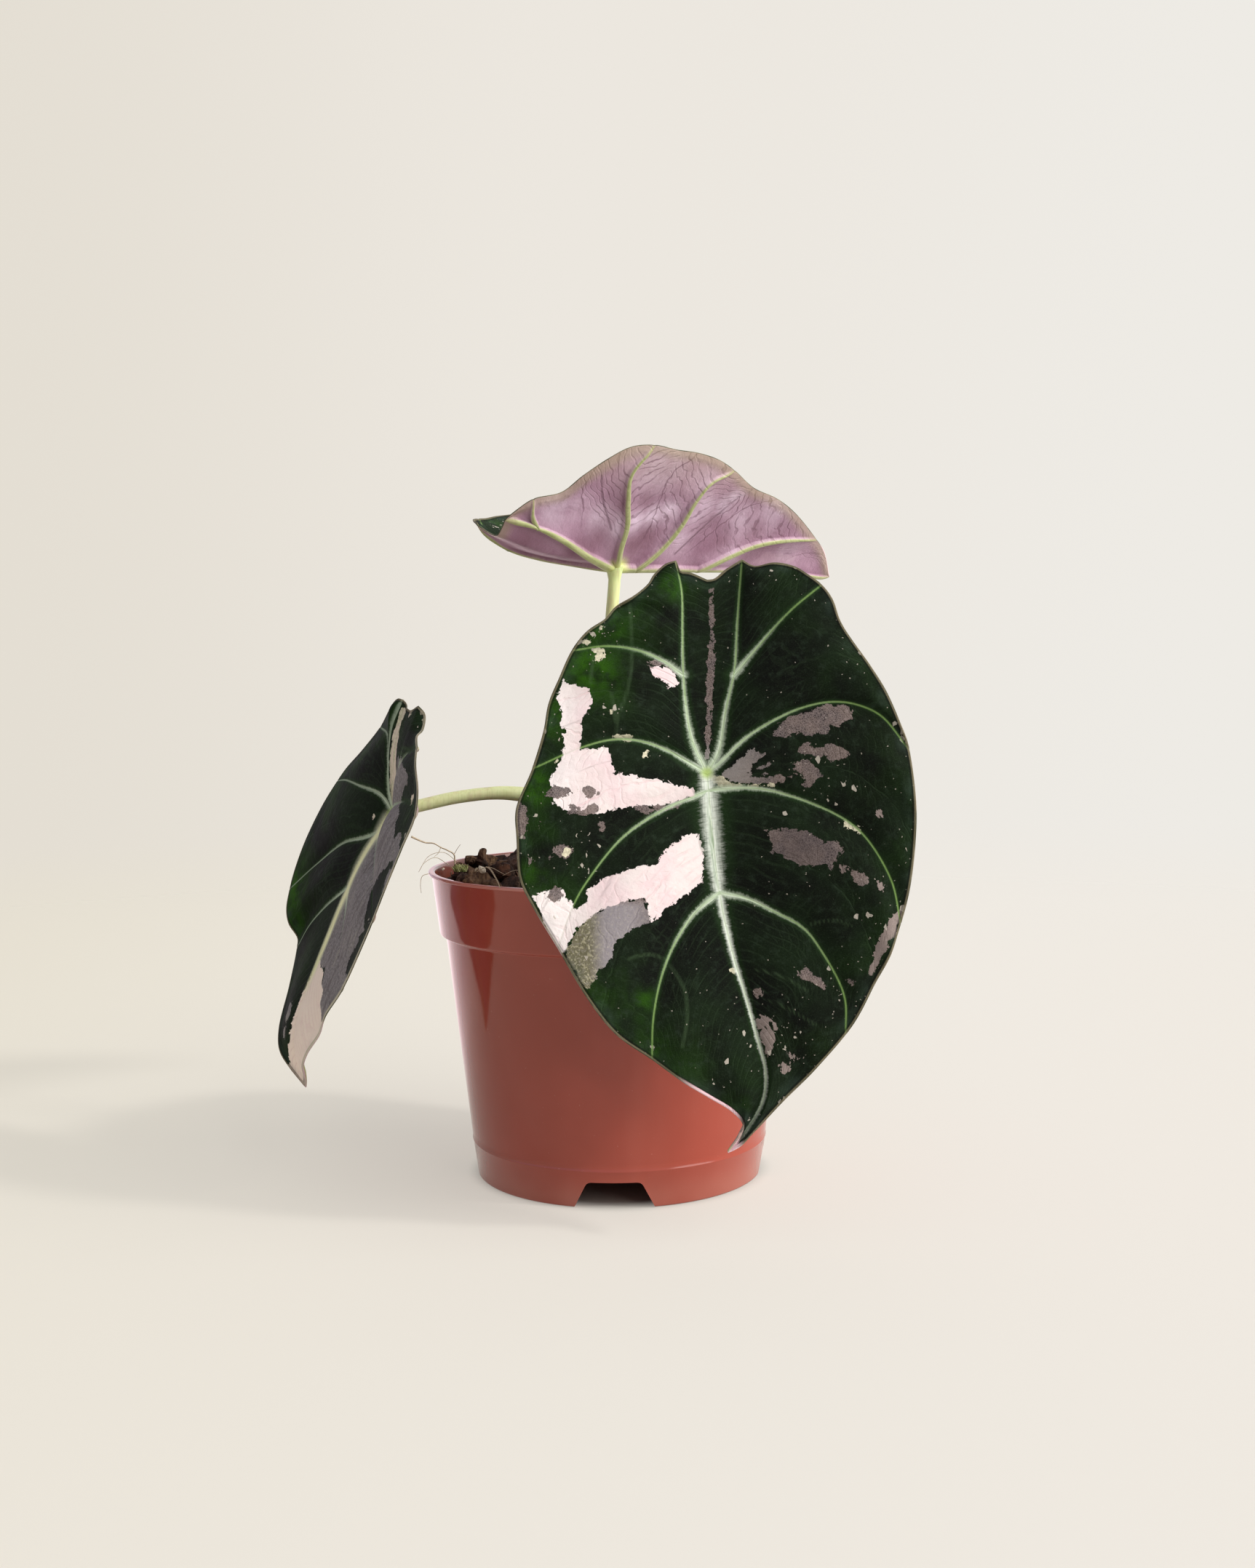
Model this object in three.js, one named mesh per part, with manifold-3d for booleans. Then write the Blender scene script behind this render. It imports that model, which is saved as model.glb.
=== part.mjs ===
// A velvet-leaved alocasia with three leaves in a small nursery pot. Millimetres, +Z up.
import * as THREE from 'three';
import { mergeVertices } from 'three/addons/utils/BufferGeometryUtils.js';
import Module from 'manifold-3d';

const wasm = await Module();
wasm.setup();

// Pot: outer sizes
const rimRadius = 60;
const potHeight = 98;
const baseRadius = 45.9;
const wallSlope = 0.114;
const collarTopRadius = 59;
const collarFootRadius = 56.6;
const collarFootZ = 78.2;
const lipZ = 95;
const wall = 1.3;
const footWidth = 2.6;
const footEdge = 0.8;
const floorUnderZ = 8.6;
const floorTopZ = 10.2;
const potSides = 56;
const collarStepZ = collarFootZ + 0.6;
const collarStepRise = 1.2;
const partingZ = 11.6;
const midWallZ = 40;
// Notches in the foot ring and drain holes in the floor
const notchCount = 4;
const notchTurn = -92.2;
const notchHeight = 8.2;
const notchFootHalf = 12.2;
const notchTopHalf = 8.2;
const notchCorner = 1.4;
const notchCutDepth = 16;
const drainCount = 8;
const drainRing = 30;
const drainRadius = 3.6;
// Soil
const clearance = 0.35;
const soilEdgeZ = 92;
const soilMiddleZ = 99;
const soilSides = 40;
const chipCount = 64;
const goldenTurn = 2.39996;
const soilRings = [0.94, 0.84, 0.7, 0.52, 0.34, 0.17, 0];
// Stems
const crownRadius = 9.5;
const crownFootZ = 84;
const crownTopZ = 113;
const crownSides = 16;
const petioleSides = 8;
const petioleSteps = 22;
// Blades
const bladeThickness = 0.85;
const ribDepth = 2.1;
const sideRibDepth = 1.3;
const bulge = 1.3;
const foldSoftness = 2;

// Three blades. Each is drawn flat with its stalk at 0,0, its lobes up and its tip down, as seen from above:
// [across, along, height]. fold raises the left and the right half about the midrib, in degrees.
// edge lists the margin between the lobe, the ends of the four side veins and the tip.
const frontLeaf = {
  at: [26, -66, 131.9],
  tipTo: [0, -0.139, -0.99],
  faceTo: [0, -0.99, 0.139],
  fold: [8, 8],
  midrib: [[2, -26], [3.3, -36], [6.7, -52], [10.2, -64], [13, -75], [15.1, -84], [14.2, -92], [9.6, -100]],
  tip: [4, -106, 2],
  seam: [[0, 20], [1, 40]],
  notch: [1, 55.3, -1],
  veinsAt: [-29, 0, 5, 34],
  left: {
    lobe: [-8, 61.3, -3],
    costa: [[-4.2, 10], [-6.2, 25], [-6.4, 40], [-6.4, 52, -1]],
    inner: [[-6.7, 58, -2], [-3.9, 57.5, -1.5]],
    veins: [
      { via: [[-12.2, 32], [-19.6, 35], [-28, 36]], to: [-38, 34.8, -1] },
      { via: [[-5.8, 3.4], [-11, 6.4], [-18.5, 9], [-26, 9.6], [-35, 7.5]], to: [-49.5, 1.4, -1] },
      {
        via: [[-3.7, -6.6], [-11.3, -9.7], [-24, -17.8], [-34.6, -30.4], [-38.5, -37]],
        to: [-43, -48.6, -1],
      },
      { via: [[-4.2, -39.6], [-10.3, -48.5], [-14.2, -58], [-16.5, -69]], to: [-17, -79.9, -1] },
    ],
    edge: [
      [
        [-11, 60.2, -3], [-14.4, 57, -3], [-16, 54.3, -2], [-21, 49.8],
        [-25.7, 47.3, -2], [-28.5, 43.7], [-33.7, 40],
      ],
      [[-42, 26], [-44.8, 19.5, -1], [-46.2, 11.5, 1]],
      [[-54, -10, 1], [-54, -18], [-53.2, -29.4, 1], [-49.8, -36.9]],
      [[-35, -62.2, 1], [-27, -72.6]],
      [[-8.6, -86, 1], [-1.3, -90.6], [5.6, -95], [8.3, -98.4, 1], [7, -102.4, 2]],
    ],
  },
  right: {
    lobe: [11.2, 61.3, -3],
    costa: [[3.2, 5.5], [5.6, 17.5], [8.3, 29], [9.5, 44, -1]],
    inner: [[6.5, 58.4, -2], [3.1, 55.6, -1]],
    veins: [
      { via: [[15, 35.5], [21.2, 42.4], [25.8, 46.8]], to: [33.6, 53, -2] },
      {
        via: [[3.9, 3], [11.5, 9.9], [19, 14.4], [27, 17.8], [35, 19.3], [42, 18.5], [49.2, 15]],
        to: [56.8, 5.5, -1],
      },
      {
        via: [[4.6, -4.6], [11.3, -4.4], [19, -5.6], [35, -11.8], [43.2, -17.8], [51, -31]],
        to: [53.5, -43, -1],
      },
      { via: [[10.7, -35.6], [18, -39.2], [26.3, -44], [31.3, -50.5], [37.4, -63]], to: [37.8, -73.6, -1] },
    ],
    edge: [
      [[14.6, 59.4, -3], [20, 59.9, -2], [26, 58.8, -3], [29.4, 56.4, -2]],
      [[36.4, 48.6, -1], [38.8, 42, -2], [46.6, 29], [50.8, 21.6], [54.7, 11.8]],
      [[58, -9, 1], [57.6, -22], [56, -33]],
      [[50.4, -51.3, 1], [46, -59.4], [41.8, -67.4]],
      [[28.6, -83.5, 1], [20.5, -91.5], [12.6, -99.5, 1], [8.1, -103.8, 2]],
    ],
  },
};

const leftLeaf = {
  at: [-69.8, -14, 117.2],
  tipTo: [-0.514, 0.045, -0.857],
  faceTo: [-0.813, -0.345, 0.469],
  fold: [11, 4],
  midrib: [[0, -10, 1.2], [0, -26, 0.9], [1, -42, -1.2], [2, -53.5, -2.4], [4, -65, -3.4], [6, -77, -6.8]],
  tip: [8, -90, -17.5],
  seam: [[-0.6, 8, 3.5], [-1.2, 20, 9.5]],
  notch: [-2, 31, 12.2],
  veinsAt: [-16, 0, 7, 27],
  left: {
    lobe: [-8, 32, 11],
    costa: [[-3, 5, 3.5], [-5.5, 13, 7.5], [-8, 23, 10.5]],
    inner: [[-5, 31.8, 11.6]],
    veins: [
      { via: [[-12, 19, 8.5]], to: [-27, 18.5, 5.4] },
      { via: [[-6, 2.3, 3.2], [-20, -0.5, 5.2], [-32, -3, 4.2]], to: [-43.2, -6.5, 1.5] },
      { via: [[-6, -12, 1.2], [-16, -18.5, 1.6], [-30, -32, -0.5]], to: [-40, -46, -1.4] },
      { via: [[-5, -31, -0.6], [-14, -40, -2.6], [-22, -50.5, -5]], to: [-24.4, -59, -6.6] },
    ],
    edge: [
      [[-13, 28, 9.9], [-20, 24, 7.6]],
      [[-36, 7, 2.8], [-41, -1, 2]],
      [[-46, -17, 0.6], [-46, -30, -0.3], [-43, -40.5, -1]],
      [[-36, -51.5, -2], [-31, -54.5, -3], [-27, -56.6, -6.2]],
      [[-15, -69, -6.6], [-8, -81, -7.6], [-2, -85.6, -8.6], [3, -87.6, -11.5]],
    ],
  },
  right: {
    lobe: [9.6, 34.8, 11.9],
    costa: [[3, 8, 4], [7, 20, 8.8]],
    inner: [[4, 31.8, 12]],
    veins: [
      { via: [[12, 20, 8.2], [19, 23.6, 8.8]], to: [25.8, 25.8, 9.4] },
      { via: [[8, 3.5, 2.8], [22, 9, 3.6], [33, 11, 3.3]], to: [41, 9.4, 2.9] },
      { via: [[10, -11, 0.9], [24, -16, 0.6], [36, -20, 0]], to: [44.8, -23, -0.8] },
      { via: [[9, -34, -1], [18, -41, -2.4], [28, -46, -4]], to: [35.6, -48.4, -5.4] },
    ],
    edge: [
      [[13.6, 33.9, 9.5], [16.8, 30.2, 8.5], [20.8, 28.2, 9.9]],
      [[31.8, 21.6, 8.3], [37, 15.8, 5]],
      [[44.6, 0, 2.5], [46, -13, 1]],
      [[42.6, -32, -2.4]],
      [[28.4, -60, -6.7], [24.8, -67, -8.8], [20, -75.6, -9.6], [15.6, -82, -11.8], [11.6, -87, -15.8]],
    ],
  },
};

const backLeaf = {
  at: [0.7, 12, 195],
  tipTo: [0.788, 0.616, 0],
  faceTo: [0, 0, 1],
  fold: [53, 25],
  midrib: [[0, -25, 0.4], [0, -50, 0.6], [0, -75, -0.2]],
  tip: [1.5, -99, -1.6],
  seam: [[0, 15, 1.4], [0, 30, 3.6]],
  notch: [0, 46, 8],
  veinsAt: [-37, 0, 8, 35],
  left: {
    lobe: [-9, 46.5, 6.6],
    costa: [[-4, 12, 0.4], [-8.5, 25, 2], [-10.2, 35.5, 4]],
    inner: [[-5, 46, 7.4]],
    veins: [
      { via: [[-14, 38.6, 4.6]], to: [-18.6, 40, 5] },
      { via: [[-8.4, 2.4], [-17.4, 3.8], [-26, 7.4], [-36, 10.4]], to: [-46, 5.8] },
      { via: [[-9.3, -14.5], [-18.4, -18.2], [-28.5, -20], [-35, -23]], to: [-39.4, -30.8] },
      { via: [[-6.6, -44], [-11.7, -54], [-14.2, -64], [-15, -75.8]], to: [-14.4, -82.6] },
    ],
    edge: [
      [[-13.6, 44, 5.8]],
      [[-22.8, 31, 4], [-29.8, 25.8, 3.4], [-37.2, 19.4, 2.6], [-42.8, 13.4, 1.6]],
      [[-45, -4], [-44.5, -13], [-42.7, -22.4]],
      [[-33.4, -42.6], [-29.9, -55], [-25, -66]],
      [[-8.4, -90.4]],
    ],
  },
  right: {
    lobe: [9, 47.5, 8.6],
    costa: [[4, 12, 0.2], [7.5, 25, 0.6], [8.5, 37, 3]],
    inner: [[5, 46.6, 8]],
    veins: [
      { via: [[14, 39.4, 4], [19, 39.6, 5]], to: [23.5, 38, 5.6] },
      { via: [[9, 2], [20, 5.5], [32, 9], [41, 9]], to: [48, 6] },
      { via: [[10, -13], [21, -17], [32, -21], [41, -26]], to: [47.5, -32] },
      { via: [[8, -43], [15, -52], [20, -63], [22, -70]], to: [22, -76.4] },
    ],
    edge: [
      [[14.6, 45.6, 8], [19.4, 42, 6.8]],
      [[29, 32, 4], [37.6, 22.6, 2], [44, 14, 0.5]],
      [[50.4, -5], [50.8, -15], [49.4, -24]],
      [[44, -42], [38, -54], [30, -66]],
      [[15, -83.4], [8, -91.4]],
    ],
  },
};

// How finely a blade is cut: lines across a sector between two veins, and rows from rib to margin.
const sectorCuts = [0, 0.08, 0.3, 0.55, 0.78, 0.92];
const rowCuts = [0, 0.06, 0.22, 0.42, 0.62, 0.8, 0.93, 1];
const innerCuts = [0, 0.2, 0.5, 0.8, 1];

// Stalks: points from the crown to the blade, with the radius at the foot and at the blade.
const petioles = {
  petiole_front: {
    route: [[4.5, -4, 97], [6.5, -8, 112], [11, -20, 131], [18, -40, 141], [24, -55, 138.5]],
    leaf: frontLeaf,
    radii: [3.6, 2.2],
  },
  petiole_left: {
    route: [
      [-5, -0.5, 97], [-9, -1.5, 107], [-19, -4.5, 118.7],
      [-33, -8, 122.5], [-48, -11, 121.9], [-60, -13, 119.6],
    ],
    leaf: leftLeaf,
    radii: [3.6, 2],
  },
  petiole_back: {
    route: [[1, 5, 97], [-0.5, 7, 120], [-1.3, 9.4, 150], [-0.8, 11, 174], [0.5, 12, 189]],
    leaf: backLeaf,
    radii: [3.6, 2],
  },
};

const materials = {
  pot: new THREE.MeshStandardMaterial({ color: '#a8503f', roughness: 0.35 }),
  soil: new THREE.MeshStandardMaterial({ color: '#3a2a20', roughness: 1 }),
  stem: new THREE.MeshStandardMaterial({ color: '#b9c078', roughness: 0.55 }),
  blade: new THREE.MeshStandardMaterial({ color: '#1c3a22', roughness: 0.8 }),
};

function seeded(seed) {
  let state = seed;
  return () => {
    state = (state * 1664525 + 1013904223) % 4294967296;
    return state / 4294967296;
  };
}

function vec(point) {
  return new THREE.Vector3(point[0], point[1], point[2] ?? 0);
}

function curveThrough(points) {
  return new THREE.CatmullRomCurve3(points.map(vec), false, 'centripetal');
}

function smooth(t) {
  return t * t * (3 - 2 * t);
}

// Solids

function toManifold(geometry) {
  const plain = geometry.index ? geometry.toNonIndexed() : geometry.clone();
  plain.deleteAttribute('normal');
  plain.deleteAttribute('uv');
  const merged = mergeVertices(plain, 1e-4);
  const position = merged.attributes.position;
  const triangles = [];
  for (let i = 0; i < merged.index.count; i += 3) {
    const [a, b, c] = [0, 1, 2].map((k) => merged.index.getX(i + k));
    if (a !== b && b !== c && a !== c) triangles.push(a, b, c);
  }
  if (signedVolume(position, triangles) < 0) flip(triangles);
  return new wasm.Manifold(new wasm.Mesh({
    numProp: 3,
    vertProperties: new Float32Array(position.array),
    triVerts: new Uint32Array(triangles),
  }));
}

function signedVolume(position, triangles) {
  const [a, b, c] = [new THREE.Vector3(), new THREE.Vector3(), new THREE.Vector3()];
  let total = 0;
  for (let i = 0; i < triangles.length; i += 3) {
    a.fromBufferAttribute(position, triangles[i]);
    b.fromBufferAttribute(position, triangles[i + 1]);
    c.fromBufferAttribute(position, triangles[i + 2]);
    total += a.dot(b.cross(c)) / 6;
  }
  return total;
}

function flip(triangles) {
  for (let i = 0; i < triangles.length; i += 3) {
    [triangles[i], triangles[i + 1]] = [triangles[i + 1], triangles[i]];
  }
}

function toGeometry(solid) {
  const mesh = solid.getMesh();
  const geometry = new THREE.BufferGeometry();
  geometry.setAttribute('position', new THREE.BufferAttribute(new Float32Array(mesh.vertProperties), 3));
  geometry.setIndex(new THREE.BufferAttribute(new Uint32Array(mesh.triVerts), 1));
  return geometry;
}

function revolve(profile, sides) {
  const geometry = new THREE.LatheGeometry(profile.map(([r, z]) => new THREE.Vector2(r, z)), sides);
  return geometry.rotateX(Math.PI / 2);
}

// A round stalk along a curve, closed at both ends.
function sweep(curve, radiusAt, sides, steps) {
  const frames = curve.computeFrenetFrames(steps, false);
  const vertices = [];
  const index = [];
  for (let i = 0; i <= steps; i++) {
    const centre = curve.getPointAt(i / steps);
    for (let j = 0; j < sides; j++) {
      const angle = (2 * Math.PI * j) / sides;
      const out = frames.normals[i].clone().multiplyScalar(Math.cos(angle))
        .addScaledVector(frames.binormals[i], Math.sin(angle));
      vertices.push(...centre.clone().addScaledVector(out, radiusAt(i / steps)).toArray());
    }
  }
  for (let i = 0; i < steps; i++) {
    for (let j = 0; j < sides; j++) {
      const [a, b] = [i * sides + j, i * sides + ((j + 1) % sides)];
      index.push(a, b, b + sides, a, b + sides, a + sides);
    }
  }
  for (let j = 1; j < sides - 1; j++) {
    index.push(0, j + 1, j);
    const last = steps * sides;
    index.push(last, last + j, last + j + 1);
  }
  const geometry = new THREE.BufferGeometry();
  geometry.setAttribute('position', new THREE.BufferAttribute(new Float32Array(vertices), 3));
  geometry.setIndex(index);
  return geometry;
}

// Pot

function wallRadius(z) {
  return baseRadius + wallSlope * z;
}

function collarRadius(z) {
  return THREE.MathUtils.mapLinear(z, collarFootZ, lipZ, collarFootRadius, collarTopRadius);
}

function potInnerRadius(z) {
  if (z < collarStepZ) return wallRadius(z) - wall;
  const rise = Math.min((z - collarStepZ) / collarStepRise, 1);
  return THREE.MathUtils.lerp(wallRadius(collarStepZ), collarRadius(z), rise) - wall;
}

// The pot's section, from the middle of the floor out, up over the lip and back in: [radius, z]
function potProfile() {
  const stepZ = collarFootZ - 0.8;
  const innerStepZ = collarStepZ + collarStepRise;
  return [
    [0, floorUnderZ],
    [wallRadius(floorUnderZ) - footWidth, floorUnderZ],
    [baseRadius - footWidth, 0],
    [baseRadius - footEdge, 0],
    [baseRadius - 0.1, footEdge * 0.7],
    [wallRadius(partingZ), partingZ],
    [wallRadius(midWallZ), midWallZ],
    [wallRadius(stepZ), stepZ],
    [collarFootRadius - 0.5, collarFootZ - 0.3],
    [collarFootRadius, collarFootZ + 0.5],
    [collarTopRadius, lipZ],
    [rimRadius - 0.15, lipZ + 0.6],
    [rimRadius, lipZ + 1.6],
    [rimRadius - 0.6, potHeight - 0.3],
    [rimRadius - 1.2, potHeight],
    [rimRadius - 2, potHeight - 0.4],
    [collarTopRadius - wall, lipZ],
    [potInnerRadius(innerStepZ), innerStepZ],
    [potInnerRadius(collarStepZ), collarStepZ],
    [potInnerRadius(midWallZ), midWallZ],
    [potInnerRadius(floorTopZ), floorTopZ],
    [0, floorTopZ],
  ];
}

function notchCutter(angle) {
  const shape = new THREE.Shape();
  const flatHalf = notchTopHalf - notchCorner;
  shape.moveTo(-notchFootHalf - 0.5, -1);
  shape.lineTo(notchFootHalf + 0.5, -1);
  shape.lineTo(notchTopHalf, notchHeight - notchCorner);
  shape.quadraticCurveTo(notchTopHalf, notchHeight, flatHalf, notchHeight);
  shape.lineTo(-flatHalf, notchHeight);
  shape.quadraticCurveTo(-notchTopHalf, notchHeight, -notchTopHalf, notchHeight - notchCorner);
  const extrusion = { depth: notchCutDepth, bevelEnabled: false, curveSegments: 3 };
  const geometry = new THREE.ExtrudeGeometry(shape, extrusion);
  geometry.rotateX(Math.PI / 2);
  geometry.translate(0, 0.75 * notchCutDepth - baseRadius, 0);
  return toManifold(geometry.rotateZ(angle + Math.PI / 2));
}

function drainCutter(x, y) {
  const geometry = new THREE.CylinderGeometry(drainRadius, drainRadius, 8, 10);
  return toManifold(geometry.rotateX(Math.PI / 2).translate(x, y, floorUnderZ));
}

function makePot() {
  let pot = toManifold(revolve(potProfile(), potSides));
  for (let i = 0; i < notchCount; i++) {
    const angle = THREE.MathUtils.degToRad(notchTurn + (360 * i) / notchCount);
    pot = pot.subtract(notchCutter(angle));
  }
  pot = pot.subtract(drainCutter(0, 0));
  for (let i = 0; i < drainCount; i++) {
    const angle = (2 * Math.PI * i) / drainCount;
    pot = pot.subtract(drainCutter(drainRing * Math.cos(angle), drainRing * Math.sin(angle)));
  }
  return toGeometry(pot);
}

// Soil, with bark chips and a dry root grown into it

function soilTop(x, y) {
  const r = Math.hypot(x, y) / potInnerRadius(soilEdgeZ);
  const mound = soilEdgeZ + (soilMiddleZ - soilEdgeZ) * (1 - smooth(Math.min(r, 1)));
  const lumps = Math.sin(x * 0.31 + 1.3) * Math.cos(y * 0.27 - 0.6) + 0.6 * Math.sin(x * 0.13 - y * 0.35);
  return mound + 1.1 * lumps * Math.min(1, 4 * (1 - Math.min(r, 1)) + 0.3);
}

function makeSoilBody() {
  const bottomZ = floorTopZ + clearance;
  const overStepZ = collarStepZ + 1.5 * collarStepRise;
  const side = (z) => [potInnerRadius(z) - clearance, z];
  const sideHeights = [bottomZ, midWallZ, collarStepZ, overStepZ, soilEdgeZ];
  const profile = [[0, bottomZ], ...sideHeights.map(side)];
  const edge = potInnerRadius(soilEdgeZ) - clearance;
  for (const share of soilRings) profile.push([edge * share, soilEdgeZ]);
  const geometry = revolve(profile, soilSides);
  const position = geometry.attributes.position;
  for (let i = 0; i < position.count; i++) {
    const [x, y, z] = [position.getX(i), position.getY(i), position.getZ(i)];
    const onTop = Math.abs(z - soilEdgeZ) < 1e-3;
    if (onTop) position.setZ(i, Math.hypot(x, y) > edge - 0.1 ? soilEdgeZ : soilTop(x, y));
  }
  return toManifold(geometry);
}

function makeChip(random, x, y, size, lift) {
  const chip = new THREE.IcosahedronGeometry(size, 0);
  chip.scale(1, 0.45 + 0.35 * random(), 0.3 + 0.25 * random());
  chip.rotateX((random() - 0.5) * 1.6).rotateY((random() - 0.5) * 1.4).rotateZ(random() * Math.PI * 2);
  return toManifold(chip.translate(x, y, soilTop(x, y) + lift));
}

// Heaped chips by the left rim, where the mix stands highest: [x, y, size, lift]
const heap = [
  [-46, -6, 7, 2], [-47.5, 4, 6.5, 1.5], [-42, -14, 7, 2], [-44.5, 0, 6.5, 4.4], [-39, 7, 7, 3.4],
  [-38, -6, 6.5, 4.2], [-34, -21, 6.5, 2.8], [-34, 1, 7, 4], [-29, -11, 7, 3.4], [-42.4, 1, 4.2, 6.6],
  [-48.5, -12, 5, 2.6], [-28, 15, 7, 3], [-46, -19, 4, 2.4], [-33, -31, 5, 2.4], [-26, 3, 7, 2.6],
];

function makeSoil(hole) {
  const random = seeded(41);
  let soil = makeSoilBody();
  for (const [x, y, size, lift] of heap) soil = soil.add(makeChip(random, x, y, size, lift));
  for (let i = 0; i < chipCount; i++) {
    const size = 2.8 + 3.2 * random();
    const ring = (49.5 - size) * Math.sqrt((i + 0.5) / chipCount);
    const turn = i * goldenTurn + random() * 0.5;
    const [x, y] = [ring * Math.cos(turn), ring * Math.sin(turn)];
    soil = soil.add(makeChip(random, x, y, size, size * 0.16));
  }
  soil = soil.add(makeRoot());
  return toGeometry(biggestPiece(soil.subtract(hole)));
}

// The dry root that arches out over the left rim
function makeRoot() {
  const route = [
    [-49, -6, 90], [-51.6, -7, 100], [-53, -7.4, 104],
    [-57, -8, 106.4], [-61.6, -8.4, 107.2], [-64.6, -8.6, 109.4],
  ];
  return toManifold(sweep(curveThrough(route), (t) => 0.75 - 0.3 * t, 5, 14));
}

// Stems

function leafFrame(leaf) {
  const along = vec(leaf.tipTo).normalize().negate();
  const face = vec(leaf.faceTo);
  face.addScaledVector(along, -face.dot(along)).normalize();
  const across = new THREE.Vector3().crossVectors(along, face);
  return new THREE.Matrix4().makeBasis(across, along, face).setPosition(...leaf.at);
}

function petioleCurve({ route, leaf }) {
  return curveThrough([...route, leaf.at]);
}

function petioleTube(petiole, grow) {
  const [foot, top] = petiole.radii;
  const radiusAt = (t) => THREE.MathUtils.lerp(foot, top, Math.min(1, t * 1.6)) + grow;
  return toManifold(sweep(petioleCurve(petiole), radiusAt, petioleSides, petioleSteps));
}

// Cuts the stalk off flat, just below the raised ribs where they meet.
function makePetiole(petiole) {
  const depth = bladeThickness + ribDepth + clearance;
  const block = new THREE.BoxGeometry(40, 40, 20).translate(0, 0, 10 - depth);
  block.applyMatrix4(leafFrame(petiole.leaf));
  return toGeometry(petioleTube(petiole, 0).subtract(toManifold(block)));
}

function crownProfile(grow) {
  const scaled = [[0.62, 0], [0.9, 0.12], [1, 0.4], [0.96, 0.62], [0.78, 0.85], [0.55, 1]];
  const height = crownTopZ - crownFootZ;
  const points = scaled.map(([r, z]) => [crownRadius * r + grow, crownFootZ + height * z]);
  return [[0, crownFootZ - grow], ...points, [0, crownTopZ + grow]];
}

function makeCrown() {
  let crown = toManifold(revolve(crownProfile(0), crownSides));
  for (const petiole of Object.values(petioles)) crown = crown.subtract(petioleTube(petiole, clearance));
  return toGeometry(biggestPiece(crown));
}

// The plain hole that the stems stand in, a little wider than they are.
function stemHole() {
  let hole = toManifold(revolve(crownProfile(clearance), crownSides));
  for (const petiole of Object.values(petioles)) hole = hole.add(petioleTube(petiole, clearance));
  return hole;
}

function biggestPiece(solid) {
  const pieces = solid.decompose();
  pieces.sort((a, b) => b.volume() - a.volume());
  return pieces[0];
}

// Blades

// The lines of one half: costa (the lobe's rib), midrib and margin. stopShare tells how far along the
// margin the lobe, each side vein and the tip lie.
function sideCurves(leaf, side) {
  const spec = leaf[side];
  const stops = [spec.lobe, ...spec.veins.map((vein) => vein.to), leaf.tip];
  const margin = [];
  const stopIndex = [];
  stops.forEach((stop, i) => {
    stopIndex.push(margin.length);
    margin.push(stop, ...(spec.edge[i] ?? []));
  });
  const costa = curveThrough([[0, 0], ...spec.costa, spec.lobe]);
  const midrib = curveThrough([[0, 0], ...leaf.midrib, leaf.tip]);
  const stopShare = stopIndex.map((i) => i / (margin.length - 1));
  return { spec, costa, midrib, margin: curveThrough(margin), stops, stopShare };
}

// A point on the ribs: mm up the costa where negative, mm down the midrib where positive.
function onRib({ costa, midrib }, along) {
  if (along < 0) return costa.getPointAt(Math.min(1, -along / costa.getLength()));
  return midrib.getPointAt(Math.min(1, along / midrib.getLength()));
}

function ribDepthAt({ costa, midrib }, along) {
  const length = along < 0 ? costa.getLength() : midrib.getLength();
  return ribDepth * (1 - 0.8 * Math.min(1, Math.abs(along) / length));
}

// The blade between the ribs and the outer margin of one half: points, with the rib depth below each.
function outerGrid(leaf, side) {
  const curves = sideCurves(leaf, side);
  const starts = [-curves.costa.getLength(), ...leaf.veinsAt, curves.midrib.getLength()];
  const veins = curves.stops.map((stop, i) => {
    const via = curves.spec.veins[i - 1]?.via;
    return via ? curveThrough([onRib(curves, starts[i]).toArray(), ...via, stop]) : null;
  });
  const veinPoint = (i, w) => (veins[i] ? veins[i].getPointAt(w) : vec(curves.stops[i]));
  const grid = [];
  for (let k = 0; k < starts.length - 1; k++) {
    const cuts = k === starts.length - 2 ? [...sectorCuts, 1] : sectorCuts;
    for (const f of cuts) {
      const along = THREE.MathUtils.lerp(starts[k], starts[k + 1], f);
      const share = THREE.MathUtils.lerp(curves.stopShare[k], curves.stopShare[k + 1], f);
      const [rib, edge] = [onRib(curves, along), curves.margin.getPoint(share)];
      grid.push(rowCuts.map((w) => {
        const point = patch(w, f, (u) => veinPoint(k, u), (u) => veinPoint(k + 1, u), rib, edge);
        point.z += bulge * Math.sin(Math.PI * f) * Math.sin(Math.PI * Math.min(1, 1.15 * w));
        const sideRib = veins[k] && f === 0 ? sideRibDepth * (1 - w) ** 0.8 : 0;
        return { point, depth: w === 0 ? ribDepthAt(curves, along) : sideRib };
      }));
    }
  }
  return grid;
}

// Blends two veins with the rib point and the margin point of a line between them.
function patch(w, f, before, after, rib, edge) {
  const point = before(w).lerp(after(w), f);
  const ribFlat = before(0).lerp(after(0), f);
  const edgeFlat = before(1).lerp(after(1), f);
  point.addScaledVector(rib.clone().sub(ribFlat), 1 - w);
  return point.addScaledVector(edge.clone().sub(edgeFlat), w);
}

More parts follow.
